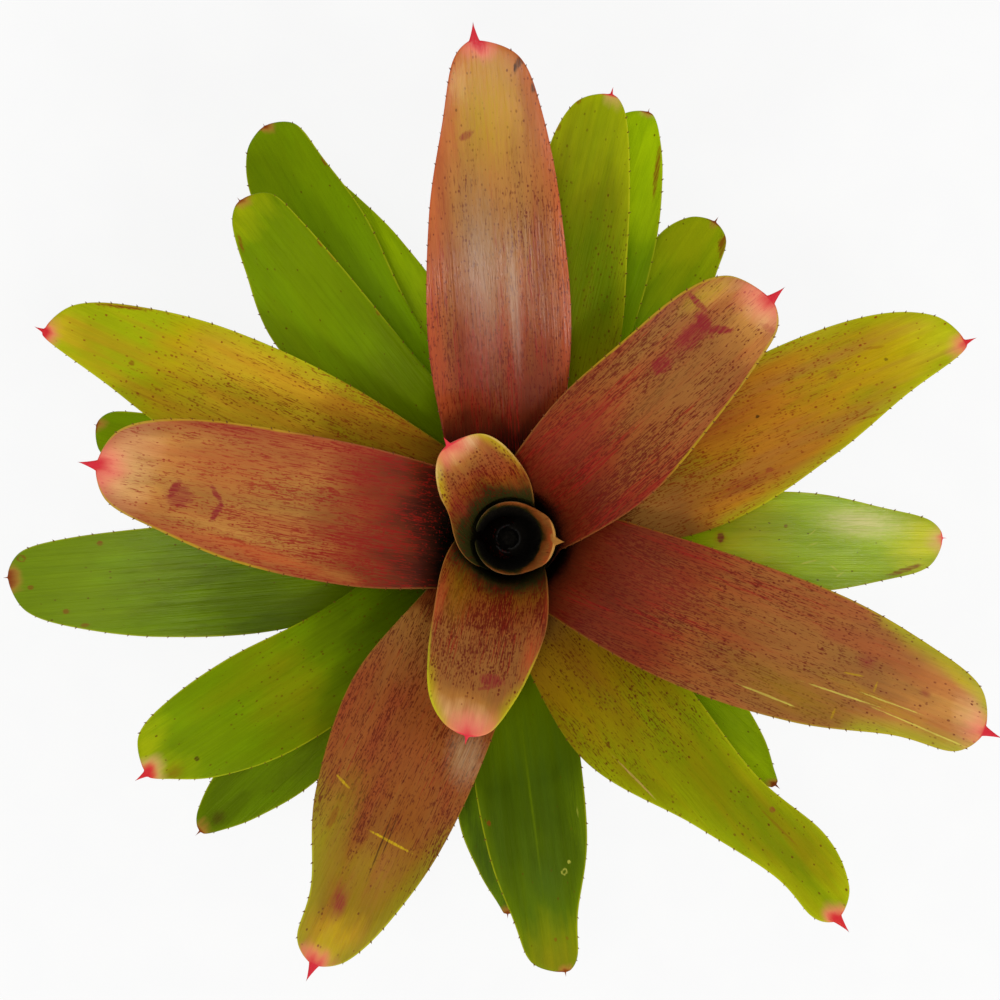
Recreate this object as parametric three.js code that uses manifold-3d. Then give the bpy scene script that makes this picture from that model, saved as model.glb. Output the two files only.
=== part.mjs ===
// A potted neoregelia bromeliad: a flat, spreading rosette of strap leaves round a rolled heart
// leaf, on a short stem that stands in a plastic nursery pot of bark mix.
// Millimetres, +Z up. The origin is the centre of the pot's foot, on the surface that it stands on.
// +Y is the way that the long red leaf, inner_leaf_4, points.

import * as THREE from "three";
import Module from "manifold-3d";
import { mergeVertices } from "three/addons/utils/BufferGeometryUtils.js";

const wasm = await Module();
wasm.setup();

const DEG = Math.PI / 180;
const FIT_GAP = 0.3; // between solids that touch on the real plant

// ---------------------------------------------------------------- driving dimensions

const POT_HEIGHT = 100;
const POT_RIM_RADIUS = 61;
const POT_FOOT_RADIUS = 43;
const POT_WALL = 2;
const POT_SIDES = 48;
const RIM_BAND = 14; // height of the thicker band below the rim
const FOOT_RING_WIDTH = 4; // the pot stands on this ring and on a pad in its middle
const FOOT_PAD_RADIUS = 14;
const FLOOR_LIFT = 4; // how far the channel between pad and ring is held off the surface
const DRAIN_HOLES = 5;
const DRAIN_RADIUS = 5;
const DRAIN_RING_RADIUS = 28;

const BARK_Z = 87; // where the mix meets the pot's wall
const BARK_CROWN = 2; // how far the mix rises towards the stem
const BARK_RELIEF = 1.1;
const BARK_WAVES = new THREE.Vector2(20, 23); // lengths of the lumps in the top, along X and Y

const STEM_TOP_Z = 128; // growing point, inside the heart leaf
const STEM_TOP_RADIUS = 3;
const STEM_FOOT_Z = 92; // lowest leaf scar
const STEM_FOOT_RADIUS = 17;
const STEM_BURIED_Z = 58; // lower end of the root crown
const STEM_SIDES = 24;

const LEAF_THICKNESS = 1;
const SHEATH_HALF_WIDTH = 29; // where a leaf is widest, round the rosette's bulb
const CUSP_HALF_WIDTH = 1.9; // of the hard point of a leaf, at its base
const SPINE_HEIGHT = 1.2;
const SPINE_WIDTH = 1.8;

// Every leaf, innermost first. Each leaf is a layer of its own, below and outside the one before.
// azimuth: where the tip points, degrees from +X. reach: from the plant's axis to the tip, in plan.
// cusp: length of the hard point at the tip. left and right: half-widths at the blade's stations,
// from the neck towards the tip. roll: how far the blade keeps to a round tube, 1 wholly, instead
// of flattening out as a strap.
const LEAF_ROWS = [
  { name: "heart_leaf_1", azimuth: 356, reach: 18, cusp: 6, roll: 1,
    left: [34, 16, 11, 9, 6.5], right: [34, 16, 11, 9, 6.5] },
  { name: "heart_leaf_2", azimuth: 123, reach: 38.3, cusp: 4, roll: 0.3,
    left: [24, 14, 11.7, 8.7, 5], right: [17, 18, 16.7, 14.3, 10] },
  { name: "heart_leaf_3", azimuth: 258, reach: 66.5, cusp: 3.5,
    left: [17, 18.7, 15.7, 11.3, 7], right: [23, 20, 18.3, 15, 8.5] },
  { name: "inner_leaf_1", azimuth: 42.3, reach: 116, cusp: 6,
    left: [19, 23, 22.3, 20.5, 14.5], right: [17, 21, 17, 12.5, 8.2] },
  { name: "inner_leaf_2", azimuth: 170, reach: 136, cusp: 6,
    left: [21, 25, 22.7, 16.5, 10.8], right: [19, 21.5, 21.3, 18.7, 12.5] },
  { name: "inner_leaf_3", azimuth: 337.9, reach: 165, cusp: 6,
    left: [19, 22, 23, 18.5, 12.5], right: [19, 24, 20.5, 12, 9.5] },
  { name: "inner_leaf_4", azimuth: 94, reach: 162.5, cusp: 6,
    left: [18, 22, 18.5, 11.8, 7.3], right: [18, 25, 24, 20, 14] },
  { name: "inner_leaf_5", azimuth: 245.4, reach: 154, cusp: 6,
    left: [17, 22.5, 22, 16.5, 9.5], right: [17, 27.5, 23, 11.5, 8.5] },
  { name: "middle_leaf_1", azimuth: 23.2, reach: 162, cusp: 4,
    left: [17, 20.5, 22.7, 19.8, 12], right: [17, 24, 17, 8, 3.8] },
  { name: "middle_leaf_2", azimuth: 156, reach: 166.5, cusp: 3.5,
    left: [14, 16, 14, 7.2, 3.3], right: [19, 25, 25, 19.5, 12] },
  { name: "middle_leaf_3", azimuth: 310.8, reach: 168, cusp: 6,
    left: [12, 13, 10.5, 14.8, 10], right: [22, 29.5, 15.5, 6.5, 5.8] },
  { name: "middle_leaf_4", azimuth: 77, reach: 150.5, cusp: 2.8,
    left: [15, 15, 16, 16, 11], right: [16, 21.5, 16.5, 11, 6] },
  { name: "middle_leaf_5", azimuth: 213, reach: 145.5, cusp: 4.5,
    left: [15, 20, 20, 13.8, 5.3], right: [15, 14, 17.2, 16.3, 12] },
  { name: "outer_leaf_1", azimuth: 0, reach: 144.5, cusp: 1.7,
    left: [15, 15.5, 15, 10, 6.3], right: [15, 17.5, 18, 14, 9.7] },
  { name: "outer_leaf_2", azimuth: 128.6, reach: 144.5, cusp: 1.7,
    left: [15, 19, 20.5, 13, 7], right: [15, 13.5, 13, 12, 9.7] },
  { name: "outer_leaf_3", azimuth: 277.4, reach: 148, cusp: 2,
    left: [14, 14.5, 13, 6.8, 4.8], right: [16, 22, 20.5, 15, 11] },
  { name: "outer_leaf_4", azimuth: 184.5, reach: 170.5, cusp: 2,
    left: [16, 25, 24, 18.8, 12], right: [13, 14, 13, 11.7, 8.6] },
  { name: "outer_leaf_5", azimuth: 317.2, reach: 125, cusp: 2.5,
    left: [15, 16, 14.5, 9.5, 3.5], right: [15, 16, 15, 9.5, 3.5] },
  { name: "outer_leaf_6", azimuth: 71.9, reach: 154, cusp: 1.7,
    left: [13, 12, 12, 11, 9], right: [14, 18, 16.5, 11.3, 5.3] },
  { name: "outer_leaf_7", azimuth: 223.5, reach: 147, cusp: 2.5,
    left: [13, 14, 14.8, 10, 4.3], right: [13, 14, 14, 10.7, 5.8] },
  { name: "outer_leaf_8", azimuth: 120.7, reach: 166.5, cusp: 1.5,
    left: [14, 16, 17, 16.5, 10], right: [12, 11, 14, 11.8, 9.7] },
  { name: "outer_leaf_9", azimuth: 269.8, reach: 130.5, cusp: 2,
    left: [13, 14, 14, 11, 6], right: [14, 17.5, 17, 10, 3.5] },
  { name: "outer_leaf_10", azimuth: 164.7, reach: 150, cusp: 1.5,
    left: [12, 13, 13, 11.5, 9], right: [12, 13, 11, 8.7, 6] },
  { name: "outer_leaf_11", azimuth: 56.9, reach: 133.5, cusp: 2.5,
    left: [13, 14, 14, 13.8, 8.5], right: [13, 14, 14, 10, 7] },
  { name: "outer_leaf_12", azimuth: 118.5, reach: 147, cusp: 2,
    left: [13, 14, 13, 11, 8], right: [14, 20, 16.5, 10.8, 6] },
];
const LAYERS = LEAF_ROWS.length;

// ---------------------------------------------------------------- one leaf's middle line

const SHEATH_STEPS = 48;
const BLADE_STEP = 1;
const LONGEST_BLADE = 230;
const SCAR_CLEARANCE = 0.7; // from the stem's surface to the foot of a leaf
const NECK_BEND_LENGTH = 14; // how quickly the sheath's slope gives way to the blade's
const ARCH_LENGTH = 160; // blade length over which the slope falls from bladeTilt to tipTilt

// The necks, where the sheaths end and the blades begin, open out like a funnel: the innermost
// layer's own values, and what each further layer adds.
const NECK = { radius: 11.5, z: 172, zStep: -1.8, wideStep: 2.1, narrowStep: 1.3, wideLayers: 6 };
const TILT = { neck: 84, neckStep: -1.3, blade: 46, bladeStep: -1.6, tip: 14, tipStep: -1.45 };
const SHEATH_BULGE = 0.85; // how far the sheath runs outwards before it turns up, of its spread
const SHEATH_RISE = 0.5; // how far it runs up to the neck in a straight line, of its height

const stemSlope = Math.atan2(STEM_FOOT_RADIUS - STEM_TOP_RADIUS, STEM_TOP_Z - STEM_FOOT_Z);

// Where the leaf of a layer starts, ends its sheath, and how steeply it climbs from there.
function layerShape(layer) {
  const down = layer / (LAYERS - 1);
  const wide = Math.min(layer, NECK.wideLayers);
  return {
    footRadius: THREE.MathUtils.lerp(STEM_TOP_RADIUS, STEM_FOOT_RADIUS, down),
    footZ: THREE.MathUtils.lerp(STEM_TOP_Z, STEM_FOOT_Z, down),
    neckRadius: NECK.radius + NECK.wideStep * wide + NECK.narrowStep * (layer - wide),
    neckZ: NECK.z + NECK.zStep * layer,
    neckTilt: (TILT.neck + TILT.neckStep * layer) * DEG,
    bladeTilt: (TILT.blade + TILT.bladeStep * layer) * DEG,
    tipTilt: (TILT.tip + TILT.tipStep * layer) * DEG,
  };
}

// The leaf's middle line in its own upright plane, as points { s, r, z, tilt }: s along the leaf
// from its foot, r from the plant's axis, tilt above the horizontal.
function middleLine(layer) {
  const shape = layerShape(layer);
  const out = new THREE.Vector2(Math.cos(stemSlope), Math.sin(stemSlope));
  const up = new THREE.Vector2(Math.cos(shape.neckTilt), Math.sin(shape.neckTilt));
  const foot = new THREE.Vector2(shape.footRadius, shape.footZ).addScaledVector(out, SCAR_CLEARANCE);
  const neck = new THREE.Vector2(shape.neckRadius, shape.neckZ);
  const sheath = new THREE.CubicBezierCurve(
    foot,
    foot.clone().addScaledVector(out, SHEATH_BULGE * (neck.x - foot.x)),
    neck.clone().addScaledVector(up, -SHEATH_RISE * (neck.y - foot.y)),
    neck,
  );
  const line = [];
  let s = 0;
  let last = foot;
  for (let i = 0; i <= SHEATH_STEPS; i++) {
    const at = sheath.getPoint(i / SHEATH_STEPS);
    const along = sheath.getTangent(i / SHEATH_STEPS);
    s += at.distanceTo(last);
    last = at;
    line.push({ s, r: at.x, z: at.y, tilt: Math.atan2(along.y, along.x) });
  }
  const neckS = s;
  const at = last.clone();
  for (let b = BLADE_STEP; b <= LONGEST_BLADE; b += BLADE_STEP) {
    const fall = ((shape.bladeTilt - shape.tipTilt) * b) / ARCH_LENGTH;
    const bend = (shape.neckTilt - shape.bladeTilt) * Math.exp(-b / NECK_BEND_LENGTH);
    const tilt = shape.bladeTilt - fall + bend;
    at.x += BLADE_STEP * Math.cos(tilt);
    at.y += BLADE_STEP * Math.sin(tilt);
    line.push({ s: neckS + b, r: at.x, z: at.y, tilt });
  }
  return { line, neckS };
}

// The middle line's point at s, between its stored points.
function pointAt(line, s) {
  let low = 0;
  let high = line.length - 1;
  while (high - low > 1) {
    const middle = (low + high) >> 1;
    if (line[middle].s > s) high = middle;
    else low = middle;
  }
  const a = line[low];
  const b = line[high];
  const k = (s - a.s) / (b.s - a.s);
  return {
    r: THREE.MathUtils.lerp(a.r, b.r, k),
    z: THREE.MathUtils.lerp(a.z, b.z, k),
    tilt: THREE.MathUtils.lerp(a.tilt, b.tilt, k),
  };
}

// ---------------------------------------------------------------- one leaf's outline

const FOOT_HALF_ANGLE = 105 * DEG; // how far a leaf's foot clasps a thin stem
const FOOT_HALF_WIDTH = 15;
const SHEATH_WIDEST = 0.5; // where the sheath is widest, as a share of its length

const ease = (k) => k * k * (3 - 2 * k);
const between = (a, b, k) => a + (b - a) * ease(THREE.MathUtils.clamp(k, 0, 1));

// A margin of the blade as a smooth curve through the half-widths at its stations. The stations
// are even in the square root of the length that is left, so a blade ends round.
function marginCurve(widths) {
  return new THREE.SplineCurve([...widths, CUSP_HALF_WIDTH].map((w, i) => new THREE.Vector2(i, w)));
}

// One margin's distance from the middle line at s: side 1 is the left margin, -1 the right.
function marginAt(leaf, s, side) {
  const { neckS, bodyEnd, endS, footHalf } = leaf;
  const curve = side > 0 ? leaf.leftMargin : leaf.rightMargin;
  const widestS = SHEATH_WIDEST * neckS;
  if (s < widestS) return between(footHalf, SHEATH_HALF_WIDTH, s / widestS);
  if (s < neckS) {
    return between(SHEATH_HALF_WIDTH, curve.getPoint(0).y, (s - widestS) / (neckS - widestS));
  }
  if (s > bodyEnd) return (CUSP_HALF_WIDTH * (endS - s)) / (endS - bodyEnd);
  return curve.getPoint(1 - Math.sqrt((bodyEnd - s) / (bodyEnd - neckS))).y;
}

// ---------------------------------------------------------------- one leaf's surface

// The point of the leaf that lies w to the left of its middle line at s, and height above it.
// The strip wraps the rosette's axis as a cone of the middle line's slope would.
function surfacePoint(leaf, s, w, height) {
  const here = pointAt(leaf.line, s);
  const flat = Math.cos(here.tilt);
  const far = Math.hypot(here.r, w * flat);
  const coneShare = (1 - leaf.roll) * ease(THREE.MathUtils.clamp(s / leaf.neckS, 0, 1));
  const onward = (coneShare * w * w * flat) / (far + here.r);
  const coneTurn = Math.atan2(w * flat, here.r) / Math.max(flat, 1e-6);
  const turn = coneShare * coneTurn + (1 - coneShare) * (w / here.r);
  const p = pointAt(leaf.line, s + onward);
  const theta = leaf.azimuth * DEG + turn;
  const r = p.r - height * Math.sin(p.tilt);
  return new THREE.Vector3(
    r * Math.cos(theta),
    r * Math.sin(theta),
    p.z + height * Math.cos(p.tilt),
  );
}

// Fills in what follows from a leaf's row and its layer.
function grow(row, layer) {
  const { line, neckS } = middleLine(layer);
  const endS = line.find((p) => p.r >= row.reach).s;
  return {
    roll: 0,
    ...row,
    line,
    neckS,
    endS,
    bodyEnd: endS - row.cusp,
    leftMargin: marginCurve(row.left),
    rightMargin: marginCurve(row.right),
    footHalf: Math.min(FOOT_HALF_WIDTH, FOOT_HALF_ANGLE * line[0].r),
  };
}

// ---------------------------------------------------------------- one leaf's solid

const SHEATH_ROWS = 6;
const BLADE_ROWS = 11;
const ROW_CROWDING = 1.7; // towards the tip
const CUSP_ROW = 0.4; // where the last row lies in the cusp
const SPINE_LEAN = 0.3; // of its width, towards the tip
const WIDEST_FACET = 24 * DEG; // of the turn that a sheath makes round the plant's axis
const FEWEST_FACETS = 4; // across a blade

// The s of each row of the leaf's grid: even in the sheath, closer together towards the tip.
function rowPlaces(leaf) {
  const places = [];
  for (let i = 0; i < SHEATH_ROWS; i++) places.push((leaf.neckS * i) / SHEATH_ROWS);
  for (let i = 0; i < BLADE_ROWS; i++) {
    const k = i / (BLADE_ROWS - 1);
    places.push(leaf.neckS + (leaf.bodyEnd - leaf.neckS) * (1 - (1 - k) ** ROW_CROWDING));
  }
  places.push(leaf.bodyEnd + CUSP_ROW * leaf.cusp);
  return places;
}

// Where the grid's columns lie, from -1 at the right margin to 1 at the left.
function columnPlaces(leaf) {
  const sheathR = pointAt(leaf.line, SHEATH_WIDEST * leaf.neckS).r;
  const wrap = (2 * SHEATH_HALF_WIDTH) / sheathR;
  const half = Math.max(Math.ceil(wrap / WIDEST_FACET / 2), FEWEST_FACETS / 2);
  return Array.from({ length: 2 * half + 1 }, (_, j) => j / half - 1);
}

// A closed mesh: an upper and a lower skin that meet along the two margins and at the point,
// with one spine on each margin between every two rows of the blade.
function leafGeometry(leaf) {
  const columns = columnPlaces(leaf);
  const rows = rowPlaces(leaf);
  const last = columns.length - 1;
  const stride = last >= 2 * FEWEST_FACETS ? 2 : 1; // the blade may skip every other column
  const points = [];
  const faces = [];
  const put = (s, w, height) => points.push(surfacePoint(leaf, s, w, height)) - 1;
  const marginPlace = (s, side) => side * marginAt(leaf, s, side);
  const skins = [0.5, -0.5].map((share) =>
    rows.map((s) =>
      columns.map((v, j) => {
        if (j === 0 || j === last) return -1;
        return put(s, Math.abs(v) * marginPlace(s, Math.sign(v) || 1), share * LEAF_THICKNESS);
      }),
    ),
  );
  rows.forEach((s, i) => {
    for (const [j, side] of [[0, -1], [last, 1]]) {
      const shared = put(s, marginPlace(s, side), 0);
      skins[0][i][j] = shared;
      skins[1][i][j] = shared;
    }
  });
  // The corners of the spine on a margin between rows i and i + 1, where the blade has one.
  const spine = (i, side) => {
    const length = rows[i + 1] - rows[i];
    if (i < SHEATH_ROWS || i > rows.length - 3 || length < 3 * SPINE_WIDTH) return null;
    const middle = rows[i] + 0.5 * length;
    const low = middle - 0.5 * SPINE_WIDTH;
    const high = middle + 0.5 * SPINE_WIDTH;
    return [
      put(low, marginPlace(low, side), 0),
      put(middle + SPINE_LEAN * SPINE_WIDTH, marginPlace(middle, side) + side * SPINE_HEIGHT, 0),
      put(high, marginPlace(high, side), 0),
    ];
  };
  const face = (flip, a, b, c) => faces.push(flip ? [a, c, b] : [a, b, c]);
  for (let i = 0; i < rows.length - 1; i++) {
    const spines = { 1: spine(i, 1), [-1]: spine(i, -1) };
    const step = i < SHEATH_ROWS ? 1 : stride;
    const merging = i === SHEATH_ROWS - 1 && stride === 2;
    skins.forEach((skin, lower) => {
      const flip = lower === 0;
      for (let j = 0; j < last; j += merging ? 2 : step) {
        const next = j + (merging ? 2 : step);
        const [a, b, c, d] = [skin[i][j], skin[i][next], skin[i + 1][next], skin[i + 1][j]];
        const edge = (j === 0 && spines[-1]) || (next === last && spines[1]);
        if (merging) {
          const halfway = skin[i][j + 1];
          face(flip, a, halfway, d);
          face(flip, halfway, c, d);
          face(flip, halfway, b, c);
        } else if (!edge) {
          face(flip, a, b, c);
          face(flip, a, c, d);
        } else if (j === 0) {
          const [low, tip, high] = edge;
          face(flip, b, c, a);
          face(flip, a, c, low);
          face(flip, low, c, high);
          face(flip, high, c, d);
          face(flip, low, high, tip);
        } else {
          const [low, tip, high] = edge;
          face(flip, a, b, d);
          face(flip, b, low, d);
          face(flip, low, high, d);
          face(flip, high, c, d);
          face(flip, low, tip, high);
        }
      }
    });
  }
  const point = put(leaf.endS, 0, 0);
  const top = rows.length - 1;
  for (let j = 0; j < last; j += stride) {
    face(true, skins[0][top][j], skins[0][top][j + stride], point);
    face(false, skins[1][top][j], skins[1][top][j + stride], point);
  }
  for (let j = 0; j < last; j++) {
    face(true, skins[1][0][j], skins[1][0][j + 1], skins[0][0][j + 1]);
    face(true, skins[1][0][j], skins[0][0][j + 1], skins[0][0][j]);
  }
  const flat = ([a, b, c]) => a === b || b === c || c === a;
  const corners = faces.filter((three) => !flat(three)).flat();
  const geometry = new THREE.BufferGeometry().setFromPoints(corners.map((corner) => points[corner]));
  const closed = mergeVertices(geometry);
  closed.computeVertexNormals();
  return closed;
}

// ---------------------------------------------------------------- stem, bark mix and pot

// A closed solid turned about the plant's axis from [radius, z] corners.
function turned(corners, sides) {
  const profile = corners.map(([r, z]) => new THREE.Vector2(r, z));
  return new THREE.LatheGeometry(profile, sides).rotateX(Math.PI / 2);
}

// The stem below the leaf scars, a carrot of old leaf bases that the roots come from.
const CROWN_CORNERS = [
  [6, STEM_BURIED_Z],
  [12, 75],
  [14, 83],
  [15.5, BARK_Z + BARK_CROWN + 1],
];
const GROWING_POINT = 2; // height of the stem's blunt top

function stemGeometry() {
  return turned(
    [
      [0, STEM_BURIED_Z],
      ...CROWN_CORNERS,
      [STEM_FOOT_RADIUS, STEM_FOOT_Z],
      [STEM_TOP_RADIUS, STEM_TOP_Z],
      [0, STEM_TOP_Z + GROWING_POINT],
    ],
    STEM_SIDES,
  );
}

// Radius of the pot's tapered wall at height z, on its outside.
function wallRadius(z) {
  return THREE.MathUtils.lerp(POT_FOOT_RADIUS, POT_RIM_RADIUS - POT_WALL, z / POT_HEIGHT);
}

// A closed mesh as a manifold solid, and a manifold solid as a three.js geometry.
function toSolid(geometry) {
  const bare = new THREE.BufferGeometry();
  bare.setAttribute("position", geometry.getAttribute("position"));
  bare.setIndex(geometry.getIndex());
  const merged = mergeVertices(bare, 1e-4);
  return new wasm.Manifold(
    new wasm.Mesh({
      numProp: 3,
      vertProperties: merged.getAttribute("position").array,
      triVerts: new Uint32Array(merged.getIndex().array),
    }),
  );
}

function toGeometry(solid) {
  const mesh = solid.getMesh();
  const geometry = new THREE.BufferGeometry();
  geometry.setAttribute("position", new THREE.BufferAttribute(new Float32Array(mesh.vertProperties), 3));
  geometry.setIndex(new THREE.BufferAttribute(new Uint32Array(mesh.triVerts), 1));
  geometry.computeVertexNormals();
  return geometry;
}

// The nursery pot: a tapered cup with a thicker band below its rounded rim. Its floor is flat on
// the surface in the middle and at the foot ring, and raised between them, where the holes are.
const RIM_ROUND = 1.5; // how far the band's edges and the rim are eased
const BAND_STEP = 0.6; // how far the band stands in and out past the wall
const CHANNEL_SLOPE = 3; // run of the channel's sloping sides
const DRILL_SIDES = 12;

function potGeometry() {
  const bandZ = POT_HEIGHT - RIM_BAND;
  const ringInner = POT_FOOT_RADIUS - FOOT_RING_WIDTH;
  const innerRim = POT_RIM_RADIUS - POT_WALL - BAND_STEP;
  const floorTop = FLOOR_LIFT + POT_WALL;
  const cup = turned(
    [
      [0, 0],
      [FOOT_PAD_RADIUS, 0],
      [FOOT_PAD_RADIUS + CHANNEL_SLOPE, FLOOR_LIFT],
      [ringInner - CHANNEL_SLOPE, FLOOR_LIFT],
      [ringInner, 0],
      [POT_FOOT_RADIUS, 0],
      [wallRadius(bandZ), bandZ],
      [POT_RIM_RADIUS - RIM_ROUND, bandZ],
      [POT_RIM_RADIUS - BAND_STEP, bandZ + RIM_ROUND],
      [POT_RIM_RADIUS, POT_HEIGHT - RIM_ROUND],
      [POT_RIM_RADIUS - BAND_STEP, POT_HEIGHT],
      [innerRim + BAND_STEP, POT_HEIGHT],
      [innerRim, POT_HEIGHT - RIM_ROUND],
      [wallRadius(bandZ) - POT_WALL, bandZ],
      [wallRadius(floorTop) - POT_WALL, floorTop],
      [FOOT_PAD_RADIUS + CHANNEL_SLOPE, floorTop],
      [FOOT_PAD_RADIUS, POT_WALL],
      [0, POT_WALL],
    ],
    POT_SIDES,
  );
  let pot = toSolid(cup);
  for (let i = 0; i < DRAIN_HOLES; i++) {
    const drill = new THREE.CylinderGeometry(DRAIN_RADIUS, DRAIN_RADIUS, 2 * floorTop, DRILL_SIDES);
    drill.rotateX(Math.PI / 2).translate(DRAIN_RING_RADIUS, 0, floorTop);
    drill.rotateZ((2 * Math.PI * i) / DRAIN_HOLES);
    pot = pot.subtract(toSolid(drill));
  }
  return toGeometry(pot);
}

// The bark mix fills the pot round the stem, which stands in a plain hole in it. Its top is lumpy
// by a formula, and flat where it meets the wall and the stem.
function barkGeometry() {
  const floor = FLOOR_LIFT + POT_WALL + FIT_GAP;
  const side = (z) => wallRadius(z) - POT_WALL - 2 * FIT_GAP;
  const hole = CROWN_CORNERS.map(([r, z]) => [r + FIT_GAP, z - FIT_GAP]);
  const holeRadius = hole.at(-1)[0];
  const rings = [0.25, 0.5, 0.75].map((k) => [
    THREE.MathUtils.lerp(side(BARK_Z), holeRadius, k),
    BARK_Z + BARK_CROWN * k,
  ]);
  const mix = turned(
    [
      [0, POT_WALL + FIT_GAP],
      [FOOT_PAD_RADIUS - FIT_GAP, POT_WALL + FIT_GAP],
      [FOOT_PAD_RADIUS + CHANNEL_SLOPE - FIT_GAP, floor],
      [side(floor), floor],
      [side(BARK_Z), BARK_Z],
      ...rings,
      [holeRadius, BARK_Z + BARK_CROWN],
      ...hole.slice(0, -1).reverse(),
      [0, STEM_BURIED_Z - FIT_GAP],
    ],
    STEM_SIDES,
  );
  const at = mix.getAttribute("position");
  const innermost = rings.at(-1)[0];
  for (let i = 0; i < at.count; i++) {
    const [x, y, z] = [at.getX(i), at.getY(i), at.getZ(i)];
    if (z <= BARK_Z || Math.hypot(x, y) < 0.99 * innermost) continue;
    const waves = Math.sin((2 * Math.PI * x) / BARK_WAVES.x) * Math.cos((2 * Math.PI * y) / BARK_WAVES.y);
    at.setZ(i, z + BARK_RELIEF * waves);
  }
  mix.computeVertexNormals();
  return mix;
}

// ---------------------------------------------------------------- the assembly

const FINISHES = {
  heart: { color: 0xa5663a, roughness: 0.45, metalness: 0 },
  inner: { color: 0x9c4a33, roughness: 0.4, metalness: 0 },
  middle: { color: 0x9a8a1e, roughness: 0.4, metalness: 0 },
  outer: { color: 0x5f8a12, roughness: 0.4, metalness: 0 },
  stem: { color: 0x8a6b45, roughness: 0.8, metalness: 0 },
  bark: { color: 0x3b2a1e, roughness: 0.95, metalness: 0 },
  pot: { color: 0x26282a, roughness: 0.5, metalness: 0 },
};

function piece(name, geometry, finish) {
  const mesh = new THREE.Mesh(geometry, new THREE.MeshStandardMaterial(FINISHES[finish]));
  mesh.name = name;
  return mesh;
}

const plant = new THREE.Group();
plant.name = "potted_neoregelia";
LEAF_ROWS.forEach((row, layer) => {
  plant.add(piece(row.name, leafGeometry(grow(row, layer)), row.name.split("_")[0]));
});
plant.add(piece("stem", stemGeometry(), "stem"));
plant.add(piece("bark_mix", barkGeometry(), "bark"));
plant.add(piece("pot", potGeometry(), "pot"));

export default plant;
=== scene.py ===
# %% [markdown]
# # A potted neoregelia bromeliad
#
# A neoregelia is a rosette: strap leaves with spiny margins, each clasping the next one in, all
# growing from a short stem. The newest leaves roll into a tube at the heart and are orange-tan
# with dark red freckles. The long inner leaves have turned rust red, and the oldest, outermost
# ones are plain green. Here the whole plant stands in a black nursery pot of bark mix.
#
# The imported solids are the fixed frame. Every leaf, the stem, the mix and the pot is made again
# over its solid with a finer mesh and a procedural finish.

import math

import bpy
import numpy as np
from mathutils import Matrix, Vector


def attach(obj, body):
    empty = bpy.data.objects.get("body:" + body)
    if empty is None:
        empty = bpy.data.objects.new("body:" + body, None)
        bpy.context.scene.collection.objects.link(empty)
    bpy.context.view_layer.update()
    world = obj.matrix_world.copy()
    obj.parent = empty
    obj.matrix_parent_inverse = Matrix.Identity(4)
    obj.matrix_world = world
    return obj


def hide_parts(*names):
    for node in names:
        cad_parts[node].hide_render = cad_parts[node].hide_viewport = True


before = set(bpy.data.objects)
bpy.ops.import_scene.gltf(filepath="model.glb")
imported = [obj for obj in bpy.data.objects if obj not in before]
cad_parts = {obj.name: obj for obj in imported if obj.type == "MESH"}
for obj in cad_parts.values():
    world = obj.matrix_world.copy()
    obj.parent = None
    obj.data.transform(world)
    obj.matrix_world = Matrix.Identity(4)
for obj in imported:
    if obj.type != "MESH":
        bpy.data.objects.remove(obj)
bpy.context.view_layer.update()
MM = 0.001  # the sizes below are in millimetres, and Blender's are in metres
print("solids loaded:", len(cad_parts))

# %% [markdown]
# ## The leaves' sizes
#
# A rosette can be scattered with a particle system or grown by a modifier, but every leaf here
# has its own width, reach and bend, so a plain table of leaves is the clearest way. Each row is
# one leaf, innermost first: where its tip points in degrees from +X, how far the tip reaches from
# the plant's axis, how long its hard point is, how far it keeps to a round tube, and the
# half-widths of its blade on the left and on the right at five stations from neck to tip.

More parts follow.
